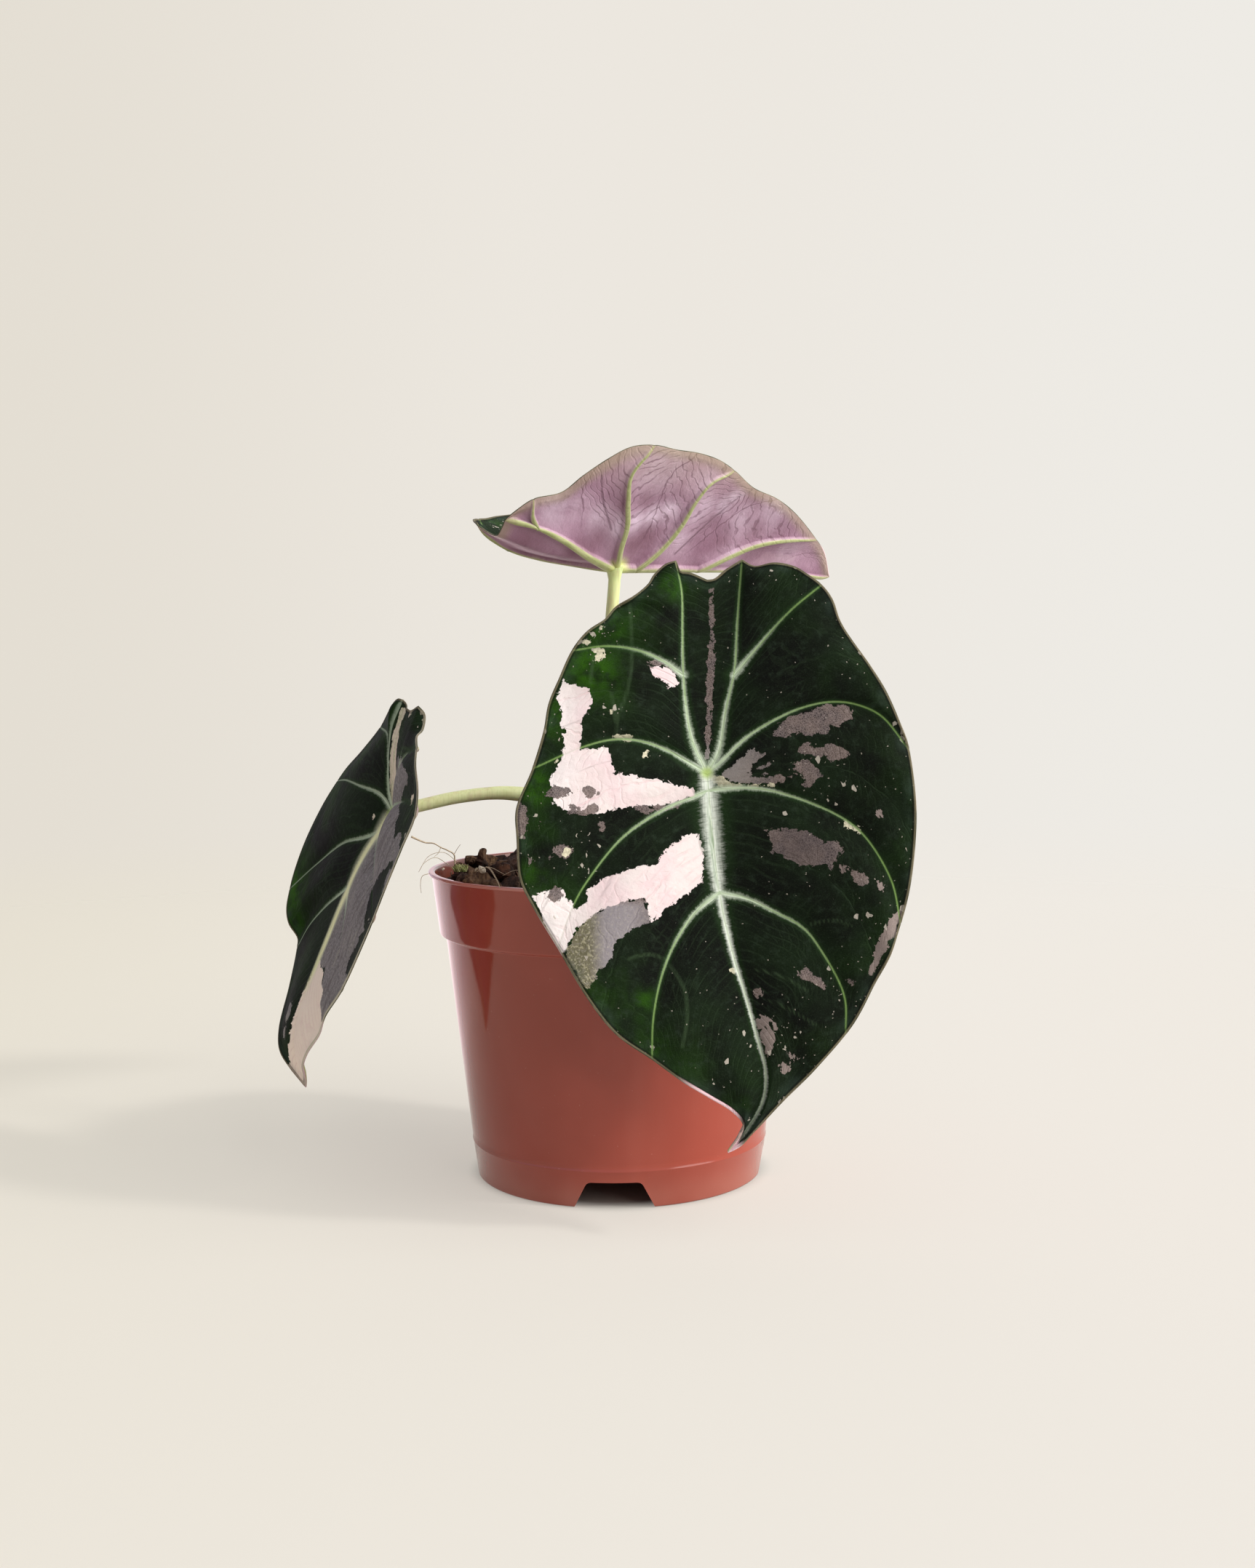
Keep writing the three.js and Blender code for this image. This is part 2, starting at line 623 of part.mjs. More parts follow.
// The blade between one costa and the seam where the two lobes have grown together.
function innerGrid(leaf, side) {
  const curves = sideCurves(leaf, side);
  const seam = curveThrough([[0, 0], ...leaf.seam, leaf.notch]);
  const topEdge = curveThrough([curves.spec.lobe, ...curves.spec.inner, leaf.notch]);
  const starts = [0, -leaf.veinsAt[0], curves.costa.getLength()];
  const lines = [];
  for (let k = 1; k >= 0; k--) {
    for (const f of sectorCuts) lines.push(THREE.MathUtils.lerp(starts[k + 1], starts[k], f));
  }
  lines.push(0);
  return lines.map((along, i) => {
    const t = 1 - i / (lines.length - 1);
    const [rib, fold] = [onRib(curves, -along), seam.getPointAt(t)];
    return innerCuts.map((w) => {
      const point = rib.clone().lerp(fold, w);
      const bow = topEdge.getPointAt(w).sub(vec(curves.spec.lobe).lerp(vec(leaf.notch), w));
      point.addScaledVector(bow, t * t);
      return { point, depth: w === 0 ? ribDepthAt(curves, -along) : 0 };
    });
  });
}

// Raises each half of the blade about the line of the midrib and the seam.
function foldPoint(leaf, point, middleX) {
  const across = point.x - middleX;
  const angle = THREE.MathUtils.degToRad(leaf.fold[across < 0 ? 0 : 1]);
  const soft = Math.hypot(across, foldSoftness) - foldSoftness;
  return new THREE.Vector3(middleX + across * Math.cos(angle), point.y, point.z + soft * Math.sin(angle));
}

function middleLine(leaf) {
  const upper = curveThrough([[0, 0], ...leaf.seam, leaf.notch]).getPoints(60);
  const lower = curveThrough([[0, 0], ...leaf.midrib, leaf.tip]).getPoints(60);
  return (y) => {
    const line = y > 0 ? upper : lower;
    const next = line.findIndex((p, i) => i > 0 && Math.abs(p.y) >= Math.abs(y));
    if (next < 0) return line[line.length - 1].x;
    const [a, b] = [line[next - 1], line[next]];
    return THREE.MathUtils.lerp(a.x, b.x, (y - a.y) / (b.y - a.y));
  };
}

// Joins the grids of points into one sheet with shared vertices.
function sheetFrom(leaf, grids) {
  const middle = middleLine(leaf);
  const found = new Map();
  const points = [];
  const depths = [];
  const indexOf = ({ point, depth }) => {
    const key = [point.x, point.y].map((v) => Math.round(v * 500)).join();
    if (!found.has(key)) {
      found.set(key, points.length);
      points.push(foldPoint(leaf, point, middle(point.y)));
      depths.push(depth);
    }
    const i = found.get(key);
    depths[i] = Math.max(depths[i], depth);
    return i;
  };
  const triangles = [];
  for (const { grid, turned } of grids) {
    const ids = grid.map((line) => line.map(indexOf));
    for (let i = 0; i < ids.length - 1; i++) {
      for (let j = 0; j < ids[i].length - 1; j++) {
        addQuad(triangles, ids[i][j], ids[i + 1][j], ids[i + 1][j + 1], ids[i][j + 1], turned);
      }
    }
  }
  return { points, depths, triangles };
}

function addQuad(triangles, a, b, c, d, turned) {
  for (const [p, q, r] of [[a, b, c], [a, c, d]]) {
    if (p === q || q === r || p === r) continue;
    triangles.push(...(turned ? [p, r, q] : [p, q, r]));
  }
}

function sheetNormals(points, triangles) {
  const normals = points.map(() => new THREE.Vector3());
  for (let i = 0; i < triangles.length; i += 3) {
    const [a, b, c] = [0, 1, 2].map((k) => points[triangles[i + k]]);
    const normal = b.clone().sub(a).cross(c.clone().sub(a));
    for (let k = 0; k < 3; k++) normals[triangles[i + k]].add(normal);
  }
  return normals.map((normal) => normal.normalize());
}

function openEdges(triangles) {
  const edges = new Map();
  for (let i = 0; i < triangles.length; i += 3) {
    for (let k = 0; k < 3; k++) {
      const [a, b] = [triangles[i + k], triangles[i + ((k + 1) % 3)]];
      if (!edges.delete(`${b},${a}`)) edges.set(`${a},${b}`, [a, b]);
    }
  }
  return [...edges.values()];
}

// Gives the sheet its thickness, with the ribs standing out below it.
function makeBlade(leaf) {
  const grids = [
    { grid: outerGrid(leaf, 'left'), turned: true },
    { grid: outerGrid(leaf, 'right'), turned: false },
    { grid: innerGrid(leaf, 'left'), turned: false },
    { grid: innerGrid(leaf, 'right'), turned: true },
  ];
  const { points, depths, triangles } = sheetFrom(leaf, grids);
  const normals = sheetNormals(points, triangles);
  const below = points.map((p, i) => p.clone().addScaledVector(normals[i], -bladeThickness - depths[i]));
  const count = points.length;
  const index = [...triangles];
  for (let i = 0; i < triangles.length; i += 3) {
    index.push(count + triangles[i], count + triangles[i + 2], count + triangles[i + 1]);
  }
  for (const [a, b] of openEdges(triangles)) index.push(b, a, count + a, b, count + a, count + b);
  const geometry = new THREE.BufferGeometry();
  const all = [...points, ...below].flatMap((p) => p.toArray());
  geometry.setAttribute('position', new THREE.BufferAttribute(new Float32Array(all), 3));
  geometry.setIndex(index);
  return geometry.applyMatrix4(leafFrame(leaf));
}

// The whole plant

function addMesh(group, name, geometry, material) {
  const mesh = new THREE.Mesh(geometry, material);
  mesh.name = name;
  group.add(mesh);
}

const plant = new THREE.Group();
addMesh(plant, 'pot', makePot(), materials.pot);
addMesh(plant, 'soil', makeSoil(stemHole()), materials.soil);
addMesh(plant, 'crown', makeCrown(), materials.stem);
for (const [name, petiole] of Object.entries(petioles)) {
  addMesh(plant, name, makePetiole(petiole), materials.stem);
}
addMesh(plant, 'leaf_front', makeBlade(frontLeaf), materials.blade);
addMesh(plant, 'leaf_left', makeBlade(leftLeaf), materials.blade);
addMesh(plant, 'leaf_back', makeBlade(backLeaf), materials.blade);

// The origin lies under the middle of the whole plant, on the surface it stands on.
const bounds = new THREE.Box3().setFromObject(plant);
const middle = bounds.getCenter(new THREE.Vector3());
plant.position.set(-middle.x, -middle.y, -bounds.min.z);

const model = new THREE.Group();
model.add(plant);

export default model;
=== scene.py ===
"""A velvet-leaved alocasia with pink patches, in a small glossy nursery pot.

Sizes are in mm from the pot's axis and the surface it stands on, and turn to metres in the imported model's
frame when an object is made.
"""

import math

import bpy
import numpy as np
from mathutils import Matrix, Vector


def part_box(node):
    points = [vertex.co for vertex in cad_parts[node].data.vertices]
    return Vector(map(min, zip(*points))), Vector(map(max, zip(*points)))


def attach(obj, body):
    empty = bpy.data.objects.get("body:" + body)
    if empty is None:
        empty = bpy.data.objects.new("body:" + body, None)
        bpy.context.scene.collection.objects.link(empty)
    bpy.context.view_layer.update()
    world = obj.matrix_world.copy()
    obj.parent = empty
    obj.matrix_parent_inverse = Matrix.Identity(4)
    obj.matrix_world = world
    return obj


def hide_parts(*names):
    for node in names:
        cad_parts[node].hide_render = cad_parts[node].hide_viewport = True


# Camera, in mm from the pot's axis, as the photograph was taken
CAMERA_PLACE = (-0.3, -568.06, 164.24)
CAMERA_FORWARD = (0.00748156, 0.99752294, -0.06994285)
CAMERA_UP = (0.01222393, 0.06984835, 0.99748272)
CAMERA_LENS = 40.8
CAMERA_SENSOR = 36


# Pot
RIM_RADIUS = 60
POT_HEIGHT = 98
BASE_RADIUS = 45.9
WALL_SLOPE = 0.114
COLLAR_TOP_RADIUS = 59
COLLAR_FOOT_RADIUS = 56.6
COLLAR_FOOT_Z = 78.2
LIP_Z = 96.8
WALL = 1.3
FOOT_WIDTH = 2.6
FLOOR_UNDER_Z = 8.6
FLOOR_TOP_Z = 10.2
PARTING_Z = 11.6
PARTING_HEIGHT = 0.16
COLLAR_STEP_Z = COLLAR_FOOT_Z + 0.6
COLLAR_STEP_RISE = 1.2
POT_SIDES = 192
NOTCH_COUNT = 4
NOTCH_TURN = -92.2
NOTCH_HEIGHT = 8.2
NOTCH_FOOT_HALF = 12.2
NOTCH_TOP_HALF = 8.2
NOTCH_CORNER = 1.4
NOTCH_CUT = 16
DRAIN_COUNT = 8
DRAIN_RING = 30
DRAIN_RADIUS = 3.6
DRAIN_SPAN = (5, 13)
SHARP_ANGLE = 38

# Soil
SOIL_GAP = 0.35
SOIL_EDGE_Z = 92
SOIL_MIDDLE_Z = 99
CHIP_COUNT = 64
CHIP_REACH = 49.5
CRUMB_COUNT = 520
CRUMB_REACH = 54
FIBRE_COUNT = 150
FIBRE_REACH = 53
FIBRE_LIMIT = 55.5
LIGHT_BIT_COUNT = 26
GOLDEN_TURN = 2.39996
# Heaped chips by the left rim, where the mix stands highest: x, y, size, lift
HEAP = [
    (-46, -6, 7, 2), (-47.5, 4, 6.5, 1.5), (-42, -14, 7, 2), (-44.5, 0, 6.5, 4.4), (-39, 7, 7, 3.4),
    (-38, -6, 6.5, 4.2), (-34, -21, 6.5, 2.8), (-34, 1, 7, 4), (-29, -11, 7, 3.4), (-42.4, 1, 4.2, 6.6),
    (-48.5, -12, 5, 2.6), (-28, 15, 7, 3), (-46, -19, 4, 2.4), (-33, -31, 5, 2.4), (-26, 3, 7, 2.6),
]
# Single chips at the left rim: x, y, z of the middle, size, shape, turns, tone
LAID = [
    (-37, 5, 96.8, 8, (1, 0.7, 0.55), (0.1, 0.05, 0.3), 0.1),
    (-30, 8, 97.2, 7, (1, 0.8, 0.55), (0.2, -0.1, 1.2), 0.2),
    (-24, 12, 98, 7, (1, 0.8, 0.55), (0.1, 0.2, 2.2), 0.3),
    (-42.6, -5, 102.6, 2.5, (0.62, 0.6, 1), (0.2, 0.1, 0.5), 0.66),
    (-46.2, -5.5, 101.3, 2.6, (1, 0.8, 0.62), (0.3, 0.2, 2.0), 0.7),
    (-44, -2, 99.4, 4.4, (1, 0.9, 0.7), (0.3, 0.4, 1.4), 0.45),
    (-48.6, -9, 98.6, 3, (1, 0.8, 0.8), (0.5, 0.2, 0.9), 0.6),
    (-42, -34.5, 97.2, 5.4, (1, 0.8, 0.85), (0.4, 0.3, 0.7), 0.78),
    (-38, -37.5, 96.8, 3.6, (1, 0.8, 0.8), (0.8, 0.3, 2.7), 0.72),
    (-45.5, -31, 97, 3.4, (1, 0.9, 0.8), (0.3, 0.7, 1.7), 0.55),
    (-48, -20, 97.2, 3, (1, 0.9, 0.8), (0.3, 0.2, 2.4), 0.3),
    (-36, -26, 99.5, 4.6, (1, 0.8, 0.7), (0.3, 0.3, 0.2), 0.15),
]
# Roots and straw seen at the left rim
DRY_ROOT = [
    (-49, -6, 92), (-51.2, -6, 99.6), (-51.4, -6.6, 103.1), (-53.4, -7.4, 104.6), (-55.4, -8, 105.6),
    (-57.6, -8.2, 106.9), (-60.2, -8.4, 107.2), (-62.6, -8.5, 108.2), (-64.6, -8.6, 109.2),
]
HAIR_ROOTS = [
    [(-53, -8, 100), (-57, -10, 102.6), (-60.4, -12, 101), (-62, -13, 98.4)],
    [(-50, -10, 101), (-54, -13, 104.5), (-58.5, -15, 103.6), (-61.5, -16.5, 99)],
    [(-51.4, -6.6, 103.1), (-50, -7, 105.4), (-49.2, -7.4, 106.4)],
    [(-55.4, -8, 105.6), (-56.2, -8.6, 103.8), (-57.4, -9, 102.8)],
    [(-58, -16, 98.3), (-60.4, -17, 97.6), (-61, -17.4, 95), (-60.8, -17.6, 92.4)],
    [(-34, -38, 100), (-30, -42, 102), (-26, -44, 101.6), (-24, -47, 99)],
    [(-42, -36, 101), (-38, -41, 103), (-33, -44, 101)],
]
STRAW = [
    (-38.6, -42.5, 103.2), (-37.2, -46, 102.9), (-35.8, -49, 101.4), (-34.8, -50.8, 99.9),
    (-34, -52.2, 98.2),
]
# Light bits by the left rim: x, y, z, size
LIGHT_BITS = [(-40.4, -36, 101.7, 1.25), (-42.2, -35.4, 101.6, 0.6), (-55, -6, 98.4, 0.5)]
MOSS_RIM_Z = 99.2
MOSS_LEAST_Z = 95
# Moss tufts: x, y, spread, number of stems
TUFTS = [(-48.2, -20, 1.9, 60), (28, 42, 3, 40), (-10, 48, 2.4, 30), (40, -22, 2.4, 30)]

# Stems
CROWN_RADIUS = 9.5
CROWN_FOOT_Z = 84
CROWN_TOP_Z = 113

# Blades: how finely they are drawn and how thick they are
COLUMN_STEP = 0.78
ROWS = 64
INNER_ROWS = 14
CROWDING = 0.5
CURVE_STEPS = 400
EDGE_SAMPLES = 60
LINE_STEP = 1.5
SECTOR_CUTS = [0, 0.08, 0.3, 0.55, 0.78, 0.92, 1]
BULGE = 1.3
BULGE_PEAK = 1.15
FOLD_SOFTNESS = 2
BLADE_THICKNESS = 0.62
MARGIN_THICKNESS = 0.34
RIM_ROUND = 0.22
# Widths along the margin where the blade is thinner, and where its ribs stand out less
THIN_BORDER = 1.4
FLAT_BORDER = 3
VEINLET_GAP = 2.7
BRANCH_GAP = 3.6
SHORT_VEIN = 26
BRANCH_SLOPE = 0.35
BRANCH_BEND = 0.03
MARK_REACH = 6
MERGE_GAP = 0.001
RIB_SINK = 0.32
RIB_DEPTH = 2.1
RIB_LEAST_DEPTH = 0.5
WIDEST_RIB = 2.4
# The ribs of a blade lie one after another on one long scale, this far apart in mm
RIB_SPACE = 170
# How bright each kind of rib stays to its end
MIDRIB_END_TONE = 0.95
COSTA_END_TONE = 0.55
VEIN_END_TONE = 0.35
# Points along the margin of one half
INNER_MARGIN_POINTS = 12
OUTER_MARGIN_POINTS = 160
# How far the torn edge of a patch strays
TORN_MM = {"pink": 0.45, "grey": 0.42, "cream": 0.35}

# Stalks: foot radius, how soon they reach their own radius, the flare under the blade
STALK_FOOT_RADIUS = 3.6
STALK_TAPER = 1.6
STALK_FLARE = 0.55
STALK_FLARE_START = 0.95
STALK_END = 0.4
STALK_SIDES = 28
STALK_WIDTHS = 41

# Dry leaf bases: half their reach round the crown, height, spread
SCALES = [(1.5, 13, 2.5), (1.2, 17, 1.5), (1.3, 12, 4), (0.9, 21, 0.6), (1.1, 15, 2.2)]
SCALE_THICKNESS = 0.3

# Room colours as seen, wall and floor darker to the left as painted shade, and how strong its light is from
# each side
WALL_LEFT = (228, 222, 211)
WALL_MIDDLE = (236, 231, 223)
WALL_RIGHT = (238, 235, 229)
FLOOR_LEFT = (222, 216, 201)
FLOOR_RIGHT = (231, 226, 218)
FLOOR_GLOW = 0.6
FLOOR_SOLID = 300
FLOOR_RADIUS = 1300
FLOOR_DROP = 0.02
# Under the pot the floor has no glow of its own, out to these radii, which paints a soft contact shadow
# round its foot
CONTACT_SHADOW = (38, 50)
LIGHT_LEAST = 0.29
LIGHT_RIGHT = 0.23
LIGHT_BEHIND = 0.25
LIGHT_ABOVE = 0.1
REFLECTED = 1.0
REFLECTED_LEFT = 0.1
FLOOR_REFLECTED = 1.0
SUN_COLOUR = (1, 0.975, 0.94)
# Suns: from where, strength, width in degrees
SUNS = [((0.77, -0.28, 0.57), 1.5, 6), ((0.76, -0.45, 0.5), 2.8, 64)]


# Blades, drawn flat in mm: the stalk meets them at 0, 0, the lobes are up and the tip is down.
# A third number is a point's height above the flat sheet.
FRONT_LEAF = {
    "at": (26, -66, 131.9),
    "tip_to": (0, -0.139, -0.99),
    "face_to": (0, -0.99, 0.139),
    "fold": (8, 8),
    "midrib": [
        (2, -26), (3.3, -36), (6.7, -52), (10.2, -64), (13, -75), (15.1, -84), (14.2, -92), (9.6, -100),
    ],
    "tip": (4, -106, 2),
    "seam": [(0, 20), (1, 40)],
    "notch": (1, 55.3, -1),
    "veins_at": (-29, 0, 5, 34),
    "left": {
        "lobe": (-8, 61.3, -3),
        "costa": [(-4.2, 10), (-6.2, 25), (-6.4, 40), (-6.4, 52, -1)],
        "inner": [(-6.7, 58, -2), (-3.9, 57.5, -1.5)],
        "veins": [
            ([(-12.2, 32), (-19.6, 35), (-28, 36)], (-38, 34.8, -1)),
            ([(-5.8, 3.4), (-11, 6.4), (-18.5, 9), (-26, 9.6), (-35, 7.5)], (-49.5, 1.4, -1)),
            (
                [(-3.7, -6.6), (-11.3, -9.7), (-24, -17.8), (-34.6, -30.4), (-38.5, -37)],
                (-43, -48.6, -1),
            ),
            ([(-4.2, -39.6), (-10.3, -48.5), (-14.2, -58), (-16.5, -69)], (-17, -79.9, -1)),
        ],
        "edge": [
            [
                (-11, 60.2, -3), (-14.4, 57, -3), (-16, 54.3, -2), (-21, 49.8), (-25.7, 47.3, -2),
                (-28.5, 43.7), (-33.7, 40),
            ],
            [(-42, 26), (-44.8, 19.5, -1), (-46.2, 11.5, 1)],
            [(-54, -10, 1), (-54, -18), (-53.2, -29.4, 1), (-49.8, -36.9)],
            [(-35, -62.2, 1), (-27, -72.6)],
            [(-8.6, -86, 1), (-1.3, -90.6), (5.6, -95), (8.3, -98.4, 1), (7, -102.4, 2)],
        ],
    },
    "right": {
        "lobe": (11.2, 61.3, -3),
        "costa": [(3.2, 5.5), (5.6, 17.5), (8.3, 29), (9.5, 44, -1)],
        "inner": [(6.5, 58.4, -2), (3.1, 55.6, -1)],
        "veins": [
            ([(15, 35.5), (21.2, 42.4), (25.8, 46.8)], (33.6, 53, -2)),
            (
                [(3.9, 3), (11.5, 9.9), (19, 14.4), (27, 17.8), (35, 19.3), (42, 18.5), (49.2, 15)],
                (56.8, 5.5, -1),
            ),
            (
                [(4.6, -4.6), (11.3, -4.4), (19, -5.6), (35, -11.8), (43.2, -17.8), (51, -31)],
                (53.5, -43, -1),
            ),
            ([(10.7, -35.6), (18, -39.2), (26.3, -44), (31.3, -50.5), (37.4, -63)], (37.8, -73.6, -1)),
        ],
        "edge": [
            [(14.6, 59.4, -3), (20, 59.9, -2), (26, 58.8, -3), (29.4, 56.4, -2)],
            [(36.4, 48.6, -1), (38.8, 42, -2), (46.6, 29), (50.8, 21.6), (54.7, 11.8)],
            [(58, -9, 1), (57.6, -22), (56, -33)], [(50.4, -51.3, 1), (46, -59.4), (41.8, -67.4)],
            [(28.6, -83.5, 1), (20.5, -91.5), (12.6, -99.5, 1), (8.1, -103.8, 2)],
        ],
    },
}

LEFT_LEAF = {
    "at": (-69.8, -14, 117.2),
    "tip_to": (-0.514, 0.045, -0.857),
    "face_to": (-0.813, -0.345, 0.469),
    "fold": (11, 4),
    "midrib": [
        (0, -10, 1.2), (0, -26, 0.9), (1, -42, -1.2), (2, -53.5, -2.4), (4, -65, -3.4), (6, -77, -6.8),
    ],
    "tip": (8, -90, -17.5),
    "seam": [(-0.6, 8, 3.5), (-1.2, 20, 9.5)],
    "notch": (-2, 31, 12.2),
    "veins_at": (-16, 0, 7, 27),
    "left": {
        "lobe": (-8.6, 32, 11.8),
        "costa": [(-3, 5, 3.5), (-5.5, 13, 7.5), (-8, 23, 10.8)],
        "inner": [(-5, 31.8, 11.8)],
        "veins": [
            ([(-12, 19, 8.5)], (-27, 18.5, 5.4)),
            ([(-6, 2.3, 3.2), (-20, -0.5, 5.2), (-32, -3, 4.2)], (-43.2, -6.5, 1.5)),
            ([(-6, -12, 1.2), (-16, -18.5, 1.6), (-30, -32, -0.5)], (-40, -46, -1.4)),
            ([(-5, -31, -0.6), (-14, -40, -2.6), (-22, -50.5, -5)], (-24.4, -59, -6.6)),
        ],
        "edge": [
            [(-11.4, 31.2, 12.2), (-15, 28.4, 11.2), (-20.4, 24.4, 8.6)], [(-36, 7, 2.8), (-41, -1, 2)],
            [(-46, -17, 0.6), (-46, -30, -0.3), (-43, -40.5, -1)],
            [(-36, -51.5, -2), (-31, -54.5, -3), (-27, -56.6, -6.2)],
            [(-15, -69, -6.6), (-8, -81, -7.6), (-2, -85.6, -8.6), (3, -87.6, -11.5)],
        ],
    },
    "right": {
        "lobe": (9.6, 34.8, 11.9),
        "costa": [(3, 8, 4), (7, 20, 8.8)],
        "inner": [(4, 31.8, 12)],
        "veins": [
            ([(12, 20, 8.2), (19, 23.6, 8.8)], (25.8, 25.8, 9.4)),
            ([(8, 3.5, 2.8), (22, 9, 3.6), (33, 11, 3.3)], (41, 9.4, 2.9)),
            ([(10, -11, 0.9), (24, -16, 0.6), (36, -20, 0)], (44.8, -23, -0.8)),
            ([(9, -34, -1), (18, -41, -2.4), (28, -46, -4)], (35.6, -48.4, -5.4)),
        ],
        "edge": [
            [(13.6, 33.9, 9.5), (16.8, 30.2, 8.5), (20.8, 28.2, 9.9)],
            [(31.8, 21.6, 8.3), (37, 15.8, 5)], [(44.6, 0, 2.5), (46, -13, 1)], [(42.6, -32, -2.4)],
            [
                (28.4, -60, -6.7), (24.8, -67, -8.8), (20, -75.6, -9.6), (15.6, -82, -11.8),
                (11.6, -87, -15.8),
            ],
        ],
    },
}

BACK_LEAF = {
    "at": (0.7, 12, 195),
    "tip_to": (0.788, 0.616, 0),
    "face_to": (0, 0, 1),
    "fold": (53, 25),
    "midrib": [(0, -25, 0.4), (0, -50, 0.6), (0, -75, -0.2)],
    "tip": (1.5, -99, -1.6),
    "seam": [(0, 15, 1.4), (0, 30, 3.6)],
    "notch": (0, 46, 8),
    "veins_at": (-37, 0, 8, 35),
    "left": {
        "lobe": (-9, 46.5, 6.6),
        "costa": [(-4, 12, 0.4), (-8.5, 25, 2), (-10.2, 35.5, 4)],
        "inner": [(-5, 46, 7.4)],
        "veins": [
            ([(-14, 38.6, 4.6)], (-18.6, 40, 5)),
            ([(-8.4, 2.4), (-17.4, 3.8), (-26, 7.4), (-36, 10.4)], (-46, 5.8)),
            ([(-9.3, -14.5), (-18.4, -18.2), (-28.5, -20), (-35, -23)], (-39.4, -30.8)),
            ([(-6.6, -44), (-11.7, -54), (-14.2, -64), (-15, -75.8)], (-14.4, -82.6)),
        ],
        "edge": [
            [(-13.6, 44, 5.8)],
            [(-22.8, 31, 4), (-29.8, 25.8, 3.4), (-37.2, 19.4, 2.6), (-42.8, 13.4, 1.6)],
            [(-45, -4), (-44.5, -13), (-42.7, -22.4)], [(-33.4, -42.6), (-29.9, -55), (-25, -66)],
            [(-8.4, -90.4)],
        ],
    },
    "right": {
        "lobe": (9, 47.5, 8.6),
        "costa": [(4, 12, 0.2), (7.5, 25, 0.6), (8.5, 37, 3)],
        "inner": [(5, 46.6, 8)],
        "veins": [
            ([(14, 39.4, 4), (19, 39.6, 5)], (23.5, 38, 5.6)),
            ([(9, 2), (20, 5.5), (32, 9), (41, 9)], (48, 6)),
            ([(10, -13), (21, -17), (32, -21), (41, -26)], (47.5, -32)),
            ([(8, -43), (15, -52), (20, -63), (22, -70)], (22, -76.4)),
        ],
        "edge": [
            [(14.6, 45.6, 8), (19.4, 42, 6.8)], [(29, 32, 4), (37.6, 22.6, 2), (44, 14, 0.5)],
            [(50.4, -5), (50.8, -15), (49.4, -24)], [(44, -42), (38, -54), (30, -66)],
            [(15, -83.4), (8, -91.4)],
        ],
    },
}


